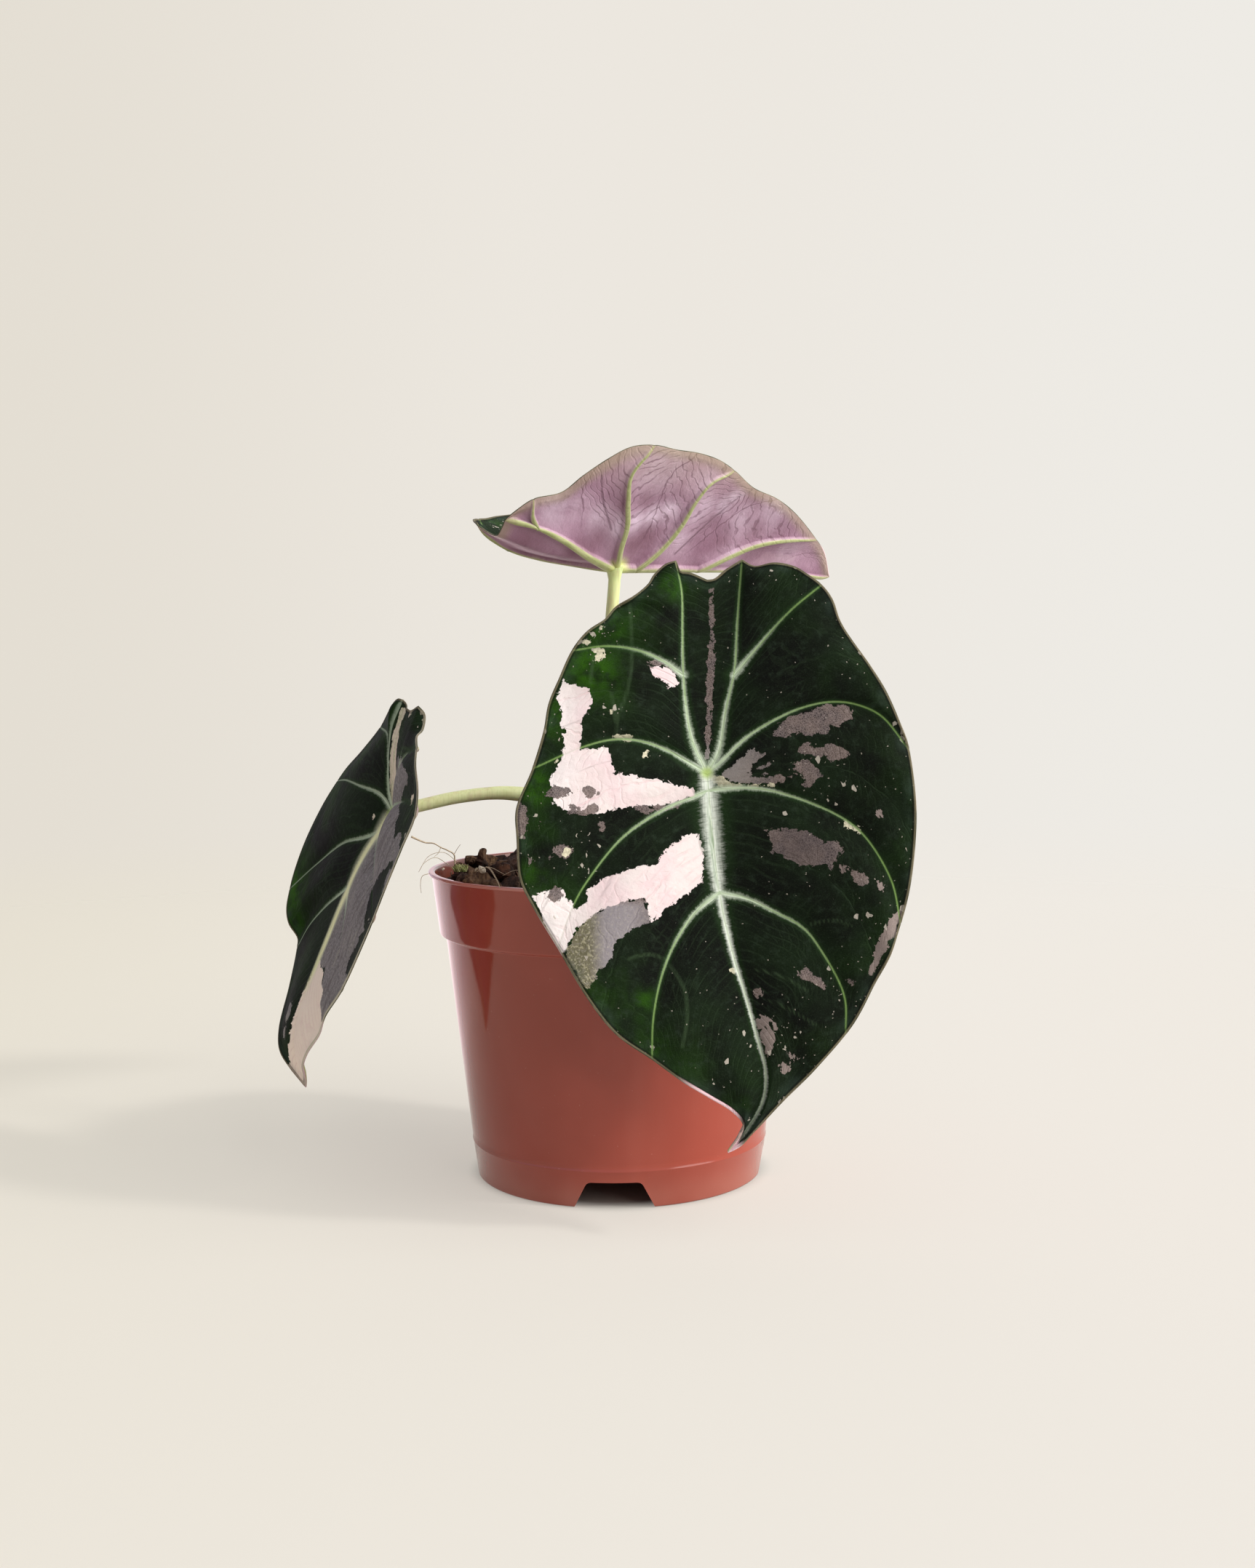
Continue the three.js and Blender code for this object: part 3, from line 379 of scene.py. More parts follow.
# What each blade wears, in mm on the flat blade: rib half widths as mm along and half width,
# outlines of patches, thin pale lines, and soft spots as x, y, radius and strength
FRONT_LOOK = {
    "seed": 0,
    "midrib_half": [
        (0, 2.8), (6, 3.4), (23, 3.3), (32, 2.4), (36, 1.7), (47, 1.35), (62, 0.95), (108, 0.5),
    ],
    "costa_half": [(0, 2.2), (8, 1.5), (25, 0.95), (62, 0.5)],
    "vein_half": [(0, 1.7), (8, 1.1), (22, 0.75), (38, 0.5), (60, 0.32)],
    "pink": [
        [
            (-40.5, 26.5), (-42.5, 21), (-41, 17.5), (-40.5, 10), (-41, 5), (-45, -2), (-44, -8),
            (-40, -11), (-31.5, -11.5), (-29.5, -11.5), (-26.5, -10), (-11.5, -9), (-3.5, -6.5),
            (-4.5, -4.5), (-14.5, -2), (-26.5, 0), (-28.5, 7), (-36, 6.5), (-36, 14.5), (-33.5, 17.5),
            (-32.5, 20.5), (-33.5, 24), (-39.5, 25),
        ],
        [
            (-15.7, 30), (-13, 30.7), (-10.2, 29.8), (-8.2, 27.8), (-7.3, 25.3), (-10, 24.3),
            (-12.5, 26), (-15, 28),
        ],
        [
            (-50, -34), (-46, -33), (-41.5, -32.5), (-40, -35.5), (-38, -35.5), (-38.5, -38),
            (-35, -36.5), (-34.5, -34.5), (-35, -33), (-31.5, -31), (-29.5, -29.5), (-26.5, -28.5),
            (-22.5, -27), (-17.5, -26), (-15.5, -26), (-11, -21), (-6, -17.5), (-3, -17), (-2.5, -21),
            (-1, -23.5), (-2, -31), (-8, -35), (-17, -42), (-18.5, -35), (-24.5, -36.5), (-31, -38.5),
            (-37.5, -43.5), (-40.5, -49), (-43, -52),
        ],
        [(13.2, -72.3), (15, -72.3), (16.7, -73.4), (15.5, -75.2), (14.3, -75)],
    ],
    "grey": [
        [(-44.5, -3.5), (-42, -3.5), (-39.5, -4), (-38.5, -6), (-41, -7), (-43, -7.5), (-46, -6.5)],
        [(-35.5, -4), (-34, -3.5), (-32, -4.5), (-31, -5.5), (-34, -7), (-36, -6)],
        [(-40.5, -11.5), (-38.5, -9), (-36.5, -10.5), (-32, -8.5), (-31, -10.5), (-34.5, -12.5)],
        [
            (-21.5, -9), (-17, -9.6), (-13, -9.3), (-10, -8.6), (-6, -7.2), (-5, -5.8), (-7.5, -9),
            (-11, -10.5), (-15, -11.2), (-18.5, -11.2), (-21, -10.2),
        ],
        [
            (-17, 31.6), (-14.5, 32.3), (-12, 31.7), (-9, 30.2), (-7.3, 28.2), (-8.2, 27.8),
            (-10.2, 29.8), (-13, 30.7), (-15.7, 30),
        ],
        [
            (-18.5, -35), (-24.5, -36.5), (-31, -38.5), (-37.5, -43.5), (-40.5, -49), (-40.5, -51.5),
            (-35, -60.5), (-32.5, -58), (-32, -55), (-30, -54), (-28, -51.5), (-27, -47.5), (-25, -46),
            (-22, -44), (-17, -42),
        ],
        [
            (2, 52.5), (2.8, 52.5), (2.6, 44), (2.9, 35), (2, 21.5), (0.7, 4), (-0.4, 4), (0, 21.5),
            (1, 35),
        ],
        [
            (18.3, 10), (20, 13), (23, 15), (27, 16.5), (30.5, 17.5), (35, 18.7), (38.5, 18.7),
            (41.3, 17), (41, 14), (38.5, 14.5), (37, 12), (35, 12.5), (34, 9.3), (30.5, 10.2),
            (29.5, 9.4), (26.5, 10.6), (24, 10), (20, 9.8),
        ],
        [
            (4, 0), (6, 0.5), (7.5, 2.5), (10, 4.2), (13, 6.5), (13.8, 7.4), (13.5, 5.5), (15, 5.2),
            (17.5, 5.2), (16, 4), (14, 3), (13, 2), (12, 0.5), (10, -1.2), (14, -1.5), (18, -1.5),
            (20.5, -0.3), (21.5, -0.5), (21.5, -3), (20, -2), (19.5, -3.6), (14, -3.6), (10, -3.2),
            (7, -3), (5, -1.6),
        ],
        [(13.5, 0.8), (15, 1.7), (17.5, 2.1), (16, 1), (14.5, 0.5)],
        [(11.3, -1), (12.3, -0.3), (12.8, -0.9)], [(15, -1.3), (16, -0.4), (17.2, -0.4), (16.5, -1.1)],
        [
            (25.5, 4.8), (26, 6.5), (27.5, 7.7), (28.5, 7.7), (30.5, 6.3), (32, 5.8), (33.5, 7),
            (35, 7.3), (37.5, 6.6), (39, 6), (39, 4.8), (40.8, 4), (38.5, 2.8), (36.5, 2.2),
            (34.5, 2.2), (33.5, 3.6), (32.5, 4.6), (31.5, 3.5), (30.5, 2), (29.8, 3.3), (30.3, 4.4),
            (28.5, 4.8), (27.5, 4.4),
        ],
        [
            (24.4, 2), (26, 3), (27.5, 3.6), (28.5, 2.6), (30, 2), (30.6, 0.5), (32, -0.4), (32.7, -2),
            (31, -2.6), (30, -3.6), (28, -4.7), (25.6, -4.5), (27, -3.9), (28.3, -3), (28, -2.1),
            (26.4, -2), (27, -1), (25.9, -0.5), (24, -1.6), (25.3, 0), (24.2, 0.5), (25.3, 1),
        ],
        [
            (15.3, -16), (18.5, -17), (21.5, -15.8), (27, -17), (30.5, -18.4), (32.5, -20.4),
            (36, -20.2), (37.8, -21.6), (37.5, -23.4), (36, -23), (34.5, -27.6), (32.5, -26.4),
            (28.5, -27), (26, -26.6), (23, -25), (20.5, -23.5), (16.3, -23.6), (18, -21), (17.5, -19),
        ],
        [(36, -27), (39, -27.5), (38.5, -29.5), (36.5, -29)],
        [(39.5, -28.5), (42.5, -29), (44.5, -31.5), (43, -32.5), (40, -31)],
        [(46.5, -31), (49, -31.5), (48.5, -33.5), (46.5, -32.5)],
        [(47, -11.5), (49, -12), (49, -14), (47, -13)],
        [
            (55, -38), (50, -41.5), (48.5, -45), (46.5, -48.5), (44, -58), (46, -56.5), (48, -52.5),
            (53, -43),
        ],
        [(24, -56.2), (27, -55), (29, -57.3), (32.2, -59.3), (31.7, -61), (28, -59.2), (25.5, -58.2)],
        [(37.5, -58.5), (40.5, -59), (39.5, -60.5)],
        [(12, -61.3), (14, -60.8), (14.6, -62.5), (13, -64), (12, -63)],
        [(12, -69.5), (14.5, -68.3), (17.5, -69.5), (18.2, -71.2), (15, -70.8)],
        [
            (13, -71), (14, -71.5), (16, -72), (17.5, -73), (18.2, -74), (17.5, -76), (16.7, -79),
            (15.5, -80.2), (14.8, -78), (14, -75.5), (13.3, -73.5),
        ],
        [(21.5, -78), (24, -79), (26, -80), (24, -80.6), (22, -79.6)],
        [(-55, -7.5), (-51, -9.5), (-51.5, -14.5), (-51.5, -19.5), (-54, -17.5)],
        [(-44, -21), (-41, -20), (-38.5, -21.5), (-39.5, -24), (-42.5, -24)],
        [
            (-46.2, -35), (-45.4, -33.3), (-43.5, -32), (-42.2, -32.4), (-41.2, -34.5), (-42.5, -36),
            (-44.5, -36),
        ],
        [(-46, -22.5), (-44, -23.5), (-45, -25)], [(-51.5, -23.5), (-49.5, -24.5), (-50.5, -26)],
        [(-48, -14), (-47, -14.5), (-47.5, -16.5)],
        [(-32, -14), (-30.5, -13), (-29, -14.5), (-30.5, -16.5)],
        [(19.5, -81.3), (21, -82.3), (22.3, -84), (20, -85.4), (18.8, -83.5)],
    ],
    "cream": [
        [(5.5, -55), (7, -54.5), (7.5, -56.5), (6, -57.5)],
        [
            (0.5, 0), (4, -1), (7, -2.8), (10, -3.4), (19, -3.6), (19, -4.2), (6, -4.3), (3, -3.6),
            (1.2, -1.8),
        ],
        [(-31.5, 33), (-30.5, 34.7), (-29.3, 34.7), (-29, 33), (-30.4, 31), (-31.6, 30.8)],
        [(-35.2, 37), (-34, 37.8), (-33.2, 37.6), (-33.4, 36.2)],
        [(-30.6, 40.3), (-29.8, 41.8), (-28.8, 42), (-29.6, 40.2)],
        [(-18.3, 4.3), (-17.5, 6.2), (-16.4, 6.7), (-16.6, 4.6)],
        [(-32.6, 35.3), (-30.3, 35.2), (-31.6, 34)], [(-43.3, 3.2), (-42, 4.8), (-41.8, 2.8)],
        [(-27.7, 17.4), (-26.4, 18.7), (-26, 17.8), (-27, 16.3)],
        [(38.5, -14.5), (43.5, -16.5), (43, -18), (38.5, -16.5)],
        [(-26.5, 10.5), (-23.5, 11.5), (-21, 10.5), (-22, 9), (-25, 9.5)],
        [(-40.5, -20.8), (-39, -21.5), (-39.5, -23.5), (-41.5, -23)],
    ],
    "thin_lines": [
        [(-21.5, 49), (-21, 35), (-21.5, 28), (-23, 21.5), (-25, 16.5), (-26, 11)],
        [(-32, 33), (-33, 25.5)], [(-27, 22.5), (-26, 14.5)],
        [(-11.5, -54), (-9.5, -57), (-7.5, -61), (-7, -69), (-8.5, -76.5)],
        [(-23, -52), (-19.5, -51), (-16, -51), (-12.5, -52.5)],
        [(28.5, -43), (34.5, -42), (39.5, -43.5)], [(13, -55.5), (20, -57.5), (27, -61.5)],
        [(16.5, -64), (22.5, -67), (29, -71)],
    ],
    "green": [
        (-33, 29, 8, 1), (-28, 41, 7, 0.7), (-9, 53.5, 4, 0.7), (-49, -4, 5, 0.9),
        (-18.5, -63.5, 3, 0.6), (-16.5, -77, 3, 0.6), (-44, 16, 6, 0.7), (-50, -28, 4, 0.5),
        (-27, 22, 5, 0.4), (6, -94, 4, 0.3),
    ],
    "dim": [(25, -22, 10, 1), (32, -22, 6, 0.8)],
    "flecks": [
        (-32, 38, 8, 0.8), (16, -31, 5, 0.5), (-36, -22, 6, 0.8), (46, 30, 8, 0.3), (34, 0, 9, 0.6),
        (50, -40, 8, 0.6), (20, -74, 8, 0.6), (-27, 15, 4, 0.4), (40, -64, 7, 0.8), (30, -58, 6, 0.4),
    ],
}

LEFT_LOOK = {
    "seed": 300,
    "milky": 1,
    "midrib_half": [(0, 2), (12, 2.6), (30, 2.3), (45, 1.5), (52, 1), (70, 0.6), (95, 0.4)],
    "costa_half": [(0, 1.2), (12, 0.95), (26, 0.6), (34, 0.25)],
    "vein_half": [(0, 1.3), (12, 0.85), (34, 0.5), (46, 0.12)],
    "pink": [
        [
            (4, -50.5), (8, -52.5), (13.5, -51), (14.5, -52.5), (15.5, -54.5), (20, -55), (21, -56.5),
            (20, -59.5), (23.5, -59.7), (24.5, -62), (34, -62.5), (30, -72), (20, -79), (16, -86),
            (12, -93), (4, -93), (3, -88), (3.7, -81), (3.4, -73), (3, -67.5), (2.6, -61), (2.2, -55.5),
        ],
    ],
    "grey": [
        [
            (4, 17.5), (8, 18.5), (17, 18), (20, 17.5), (24.3, 17.5), (24.2, 16), (23.5, 14.5),
            (21.5, 12.5), (20, 11), (18.5, 9.5), (18.3, 8), (20, 6.2), (26, 5.5), (26.5, 4), (28, 3),
            (30, 2), (32, 0.5), (34.5, -1), (34.5, 1.5), (36, 3), (38, 2), (39.5, 0.5), (41.5, -0.5),
            (44.5, -1), (46, -2.5), (45, -4), (41.5, -4.6), (38.5, -5.5), (39, -7), (37, -9),
            (35, -10.5), (33.5, -13), (30, -16), (29, -18), (30, -19.5), (32, -21), (34, -23),
            (36, -25), (38.5, -27), (40, -28), (36.5, -30), (37, -32), (36.5, -33.5), (35, -36.5),
            (34, -39), (33.5, -41.5), (35, -43.5), (38.5, -43), (40.5, -41), (40, -46), (38.5, -52),
            (32.5, -57), (31.5, -60), (29, -62), (24.5, -62), (20, -59), (20, -55.5), (15.5, -54.5),
            (13.5, -51), (7, -52), (2, -51), (1, -46), (0, -32), (0, -24), (0.3, -11.5), (0, -4),
            (0.5, 4), (2, 12),
        ],
        [
            (45.5, -3.5), (44, -5.5), (41.5, -7.5), (42.3, -10), (43, -12), (44, -13.3), (47, -13),
            (49, -10), (45.5, -9), (46, -6),
        ],
        [(48, -18), (45.5, -18.5), (44.6, -21), (45, -24), (49, -22)],
        [(-3.5, -70), (-1, -69), (0.5, -73), (-1, -76), (-3, -75)],
        [(-2.5, -77.5), (0, -77), (0.5, -80.5), (-1.5, -81)],
    ],
    "cream": [
        [
            (-7, 30), (-2, 31.5), (-1, 30), (-2.6, 27), (-2, 24), (-0.5, 21.5), (0.5, 17.5), (1.5, 15),
            (3, 10), (3, 5), (1.8, 1), (-0.5, 0), (-1.8, 4), (-3, 8), (-4, 13), (-5.2, 19), (-5.8, 24),
        ],
        [(11, 34.5), (12.5, 35), (12.5, 33.2)], [(13.8, 33.4), (15.5, 32.6), (15.4, 31.4), (13.8, 32)],
        [(3.5, 32.6), (6.5, 33.4), (6, 31.5), (4, 30)],
        [(29.5, 12), (30.8, 14.2), (31.5, 13), (30.5, 10.5)], [(-6, -4), (-4.8, -4.2), (-5.2, -5.2)],
    ],
    "thin_lines": [
        [(6, 20), (12, 22), (20, 22.5)], [(3, 18), (8, 19.5), (14, 19)], [(28, 21), (32, 14), (34, 6)],
    ],
    "green": [(-38, -46, 9, 1), (-30, -53, 6, 0.6), (-40, -38, 6, 0.5)],
    "flecks": [(38, 2, 7, 0.5), (12, 32, 5, 0.6), (40, -30, 6, 0.2)],
}

BACK_LOOK = {
    "seed": 700,
    "midrib_half": [(0, 2.2), (30, 1.6), (70, 1), (100, 0.5)],
    "costa_half": [(0, 1.9), (25, 1.2), (50, 0.6)],
    "vein_half": [(0, 1.7), (25, 1.25), (48, 0.7), (60, 0.4)],
    "pink": [
        [(14, 18), (22, 22), (30, 18), (27, 10), (18, 9)], [(-8, -62), (-3, -58), (-2, -72), (-6, -78)],
    ],
    "grey": [
        [(26, 19), (34, 22), (38, 14), (30, 10)],
        [(10, -22), (20, -24), (30, -30), (26, -38), (16, -34)],
        [(-32, -8), (-24, -6), (-22, -14), (-30, -17)], [(-4, -52), (-2, -50), (-3, -62), (-7, -60)],
    ],
    "cream": [
        [(22, 21), (25, 22), (26, 19.5), (23, 19)], [(30, -12), (33, -12.5), (33, -14.5), (30, -14)],
    ],
    "thin_lines": [
        [(8, -8), (24, -13), (40, -19)], [(-6, -22), (-18, -30), (-30, -38)],
        [(6, -24), (18, -32), (36, -42)], [(-14, 8), (-24, 16), (-32, 20)],
    ],
    "green": [(-36, 12, 8, 0.8), (30, 30, 8, 0.5), (0, -90, 10, 0.6), (46, -10, 7, 0.5)],
    # Soft spots of painted highlight, where the folded blade catches the light
    "glow": [
        (-16.5, 32, 7, 0.6), (-18.5, 23, 6, 0.4), (-17, 14, 5, 0.7), (-16.5, 6, 5, 0.9),
        (-18, 0, 4.5, 0.9), (-19.5, -6, 4.5, 1), (-22, -12, 4.5, 0.9), (-39, 0.5, 12, 0.6),
        (-26, -57, 9, 0.5), (-24, -24, 7, 0.6), (-34, -20, 6, 0.6), (-26, -34, 5, 0.6),
        (-29.5, -36.5, 3, 1), (-20, -45, 7, 0.5), (-7.5, -72, 6, 0.4), (-12, -20, 6, 0.5),
        (-6, -46, 5, 0.5),
    ],
    # Soft spots of painted shade on the folded blade
    "dim": [
        (-26.5, 0.5, 4, 0.9), (-25, 8, 4, 0.7), (-12, -6.5, 5, 1), (-9, -3.5, 5, 1),
        (-11, 12.5, 5, 0.8), (-7.5, 15, 5, 0.8), (-5, 36, 8, 0.9), (-16, -51.5, 5, 0.7),
        (-7.5, -57, 6, 0.6), (-12.5, -40, 5, 0.6), (-18, -30, 4, 0.5), (-28, -16, 4, 0.4),
    ],
    "flecks": [(20, 26, 10, 0.7), (36, -30, 12, 0.6), (-30, -30, 10, 0.5)],
}

# Stalks: piece, node, radius at the blade, leaf, tone, route from the crown
STALKS = (
    (
        "stalk_front", "petiole_front", 2.2, FRONT_LEAF, 0.35,
        [(4.5, -4, 97), (6.5, -8, 112), (11, -20, 131), (18, -40, 141), (24, -55, 138.5)],
    ),
    (
        "stalk_left", "petiole_left", 2.0, LEFT_LEAF, 0.2,
        [
            (-5, -0.5, 97), (-9, -1.5, 107), (-19, -4.5, 118.7), (-33, -8, 122.5), (-48, -11, 121.9),
            (-60, -13, 119.6),
        ],
    ),
    (
        "stalk_back", "petiole_back", 2.0, BACK_LEAF, 0.9,
        [(1, 5, 97), (-0.5, 7, 120), (-1.3, 9.4, 150), (-0.8, 11, 174), (0.5, 12, 189)],
    ),
)


# Shape of a blade

def lerp(a, b, t):
    return a + (b - a) * t


def point3(point):
    return (point[0], point[1], point[2] if len(point) > 2 else 0)


def polar(radius, turn):
    return radius * math.cos(turn), radius * math.sin(turn)


def ring_turns(count):
    return 2 * np.pi * np.arange(count) / count


class Curve:
    """A centripetal Catmull-Rom curve through its points, as the CAD model draws it."""

    def __init__(self, points):
        self.points = np.array([point3(p) for p in points], float)
        self.shares = np.linspace(0, 1, CURVE_STEPS + 1)
        self.line = self.at(self.shares)
        steps = np.linalg.norm(np.diff(self.line, axis=0), axis=1)
        self.lengths = np.concatenate([[0], np.cumsum(steps)])
        self.length = self.lengths[-1]

    def at(self, share):
        """Points at these shares of the way by number of points."""
        p = self.points
        padded = np.vstack([2 * p[0] - p[1], p, 2 * p[-1] - p[-2]])
        place = np.clip(np.asarray(share, float), 0, 1) * (len(p) - 1)
        i = np.minimum(place.astype(int), len(p) - 2)
        t = (place - i)[:, None]
        p0, p1, p2, p3 = (padded[i + k] for k in range(4))
        pairs = ((p0, p1), (p1, p2), (p2, p3))
        d0, d1, d2 = (np.linalg.norm(b - a, axis=1)[:, None] ** 0.5 for a, b in pairs)
        m1 = ((p1 - p0) / d0 - (p2 - p0) / (d0 + d1) + (p2 - p1) / d1) * d1
        m2 = ((p2 - p1) / d1 - (p3 - p1) / (d1 + d2) + (p3 - p2) / d2) * d1
        return p1 + m1 * t + (3 * (p2 - p1) - 2 * m1 - m2) * t**2 + (2 * (p1 - p2) + m1 + m2) * t**3

    def by_length(self, share):
        """Points at these shares of the length."""
        return self.at(np.interp(np.asarray(share) * self.length, self.lengths, self.shares))


def crowded(count):
    """Steps from 0 to 1, closer together near both ends."""
    u = np.linspace(0, 1, count + 1)
    return u - CROWDING * np.sin(2 * np.pi * u) / (2 * np.pi)


def side_lines(leaf, side):
    """The lines of one half: ribs, margin, side veins, and where they meet."""
    half = leaf[side]
    stops = [half["lobe"], *(to for _, to in half["veins"]), leaf["tip"]]
    margin, stop_index = [], []
    for i, stop in enumerate(stops):
        stop_index.append(len(margin))
        margin += [stop, *(half["edge"][i] if i < len(half["edge"]) else [])]
    lines = {
        "costa": Curve([(0, 0), *half["costa"], half["lobe"]]),
        "midrib": Curve([(0, 0), *leaf["midrib"], leaf["tip"]]),
        "margin": Curve(margin),
        "stops": [np.array(point3(stop)) for stop in stops],
        "stop_share": [i / (len(margin) - 1) for i in stop_index],
        "inner": Curve([half["lobe"], *half["inner"], leaf["notch"]]),
    }
    lines["starts"] = [-lines["costa"].length, *leaf["veins_at"], lines["midrib"].length]
    lines["veins"] = [
        Curve([on_rib(lines, np.array([start]))[0], *via, to])
        for start, (via, to) in zip(leaf["veins_at"], half["veins"])
    ]
    return lines


def on_rib(lines, along):
    """Points on the ribs: mm up the costa where negative, mm down the midrib where positive."""
    up = lines["costa"].by_length(np.clip(-along / lines["costa"].length, 0, 1))
    down = lines["midrib"].by_length(np.clip(along / lines["midrib"].length, 0, 1))
    return np.where((along < 0)[:, None], up, down)


def sector_steps(leaf):
    """Shares across each sector, alike on both halves, so that the halves meet point to point."""
    steps = []
    both = [side_lines(leaf, side) for side in ("left", "right")]
    for k in range(5):
        widths = []
        for lines in both:
            shares = np.linspace(lines["stop_share"][k], lines["stop_share"][k + 1], EDGE_SAMPLES)
            widths.append(np.linalg.norm(np.diff(lines["margin"].at(shares), axis=0), axis=1).sum())
        steps.append(crowded(max(8, round(max(widths) / COLUMN_STEP))))
    return steps


def outer_sheet(leaf, side, steps):
    """The blade from ribs to outer margin: points, mm from mid-sector and mm along the ribs."""
    lines = side_lines(leaf, side)
    rows = crowded(ROWS)
    w = rows[None, :, None]
    columns, middle, starts = [], [], []
    for k, shares in enumerate(steps):
        f = (shares if k == 4 else shares[:-1])[:, None, None]
        start = lerp(lines["starts"][k], lines["starts"][k + 1], f[:, :, 0])
        rib = on_rib(lines, start[:, 0])[:, None]
        stop = lerp(lines["stop_share"][k], lines["stop_share"][k + 1], f[:, 0, 0])
        edge = lines["margin"].at(stop)[:, None]
        before, after = (vein_or_point(lines, i, rows)[None] for i in (k, k + 1))
        point = lerp(before, after, f)
        point = point + (1 - w) * (rib - point[:, :1]) + w * (edge - point[:, -1:])
        outward = np.minimum(1, BULGE_PEAK * w[:, :, 0])
        point[:, :, 2] += BULGE * np.sin(np.pi * f[:, :, 0]) * np.sin(np.pi * outward)
        columns.append(point)
        middle.append((f[:, :, 0] - 0.5) * np.linalg.norm(after - before, axis=2))
        starts.append(np.broadcast_to(start, point.shape[:2]))
    return np.concatenate(columns), np.concatenate(middle), np.concatenate(starts)


def vein_or_point(lines, i, rows):
    if 0 < i < 5:
        return lines["veins"][i - 1].by_length(rows)
    return np.repeat(lines["stops"][i][None], len(rows), axis=0)


def inner_sheet(leaf, side, steps):
    """The blade between one costa and the seam where the lobes have grown together."""
    lines = side_lines(leaf, side)
    seam = Curve([(0, 0), *leaf["seam"], leaf["notch"]])
    w = np.linspace(0, 1, INNER_ROWS + 1)[None, :, None]
    along, down = [], []
    for k in (0, 1):
        f = steps[k] if k == 1 else steps[k][:-1]
        along.append(lerp(lines["starts"][k], lines["starts"][k + 1], f))
        cuts = np.interp(f, SECTOR_CUTS, np.arange(len(SECTOR_CUTS)))
        down.append((cuts + 6 * k) / 12)
    t = 1 - np.concatenate(down)
    rib = on_rib(lines, np.minimum(np.concatenate(along), 0))[:, None]
    fold = seam.by_length(t)[:, None]
    chord = lerp(lines["stops"][0], np.array(point3(leaf["notch"])), w[0])
    bow = lines["inner"].by_length(w[0, :, 0]) - chord
    points = lerp(rib, fold, w) + bow[None] * t[:, None, None] ** 2
    starts = np.broadcast_to(np.concatenate(along)[:, None], points.shape[:2])
    return points, np.full(points.shape[:2], float(MARK_REACH)), starts


def middle_x(leaf, y):
    """Where the middle line of the blade lies at this height."""
    upper = Curve([(0, 0), *leaf["seam"], leaf["notch"]]).at(np.linspace(0, 1, EDGE_SAMPLES + 1))
    lower = Curve([(0, 0), *leaf["midrib"], leaf["tip"]]).at(np.linspace(0, 1, EDGE_SAMPLES + 1))
    above = np.interp(y, np.maximum.accumulate(upper[:, 1]), upper[:, 0])
    below = np.interp(-y, np.maximum.accumulate(-lower[:, 1]), lower[:, 0])
    return np.where(y > 0, above, below)


def folded(leaf, flat):
    """Raises each half of the blade about its middle line."""
    middle = middle_x(leaf, flat[:, 1])
    across = flat[:, 0] - middle
    angle = np.radians(np.where(across < 0, leaf["fold"][0], leaf["fold"][1]))
    soft = np.hypot(across, FOLD_SOFTNESS) - FOLD_SOFTNESS
    raised = flat[:, 2] + soft * np.sin(angle)
    return np.stack([middle + across * np.cos(angle), flat[:, 1], raised], axis=1)


def leaf_axes(leaf):
    """Rows: the blade's across, along and face directions."""
    along = -np.array(leaf["tip_to"], float)
    along /= np.linalg.norm(along)
    face = np.array(leaf["face_to"], float)
    face -= along * face.dot(along)
    face /= np.linalg.norm(face)
    return np.stack([np.cross(along, face), along, face])


def placed(leaf, points):
    """From the leaf's own axes to the plant's, in mm from the pot's axis."""
    return points @ leaf_axes(leaf) + np.array(leaf["at"], float)


def joined_sheet(leaf):
    """The blade's upper face: flat points, triangles that face up, and marks that its veins follow."""
    steps = sector_steps(leaf)
    sheets = [
        (outer_sheet(leaf, "left", steps), True),
        (outer_sheet(leaf, "right", steps), False),
        (inner_sheet(leaf, "left", steps), False),
        (inner_sheet(leaf, "right", steps), True),
    ]
    points, quads, marks = [], [], []
    for (grid, middle, starts), turned in sheets:
        base = sum(len(p) for p in points)
        n, m = grid.shape[:2]
        ids = base + np.arange(n * m).reshape(n, m)
        quad = np.stack([ids[:-1, :-1], ids[1:, :-1], ids[1:, 1:], ids[:-1, 1:]], axis=-1).reshape(-1, 4)
        steps_out = np.linalg.norm(np.diff(grid, axis=1), axis=2)
        outward = np.pad(np.cumsum(steps_out, axis=1), ((0, 0), (1, 0)))
        points.append(grid.reshape(-1, 3))
        marks.append(np.stack([outward.reshape(-1), middle.reshape(-1), starts.reshape(-1)]))
        quads.append(quad[:, ::-1] if turned else quad)
    points, quads, marks = np.concatenate(points), np.concatenate(quads), np.concatenate(marks, axis=1)
    keys = np.round(points[:, :2] / MERGE_GAP)
    _, first, ids = np.unique(keys, axis=0, return_index=True, return_inverse=True)
    quads = ids.reshape(-1)[quads]
    triangles = np.concatenate([quads[:, [0, 1, 2]], quads[:, [0, 2, 3]]])
    whole = (triangles[:, 0] != triangles[:, 1]) & (triangles[:, 1] != triangles[:, 2])
    whole &= triangles[:, 0] != triangles[:, 2]
    names = ("outward_mm", "middle_mm", "start_mm")
    return points[first], triangles[whole], dict(zip(names, marks[:, first]))


# Marks on a blade, each one number for each point

def dense_line(points):
    """A curve's points every LINE_STEP mm or so, flat."""
    curve = Curve(points)
    return curve.by_length(np.linspace(0, 1, max(6, round(curve.length / LINE_STEP))))[:, :2]


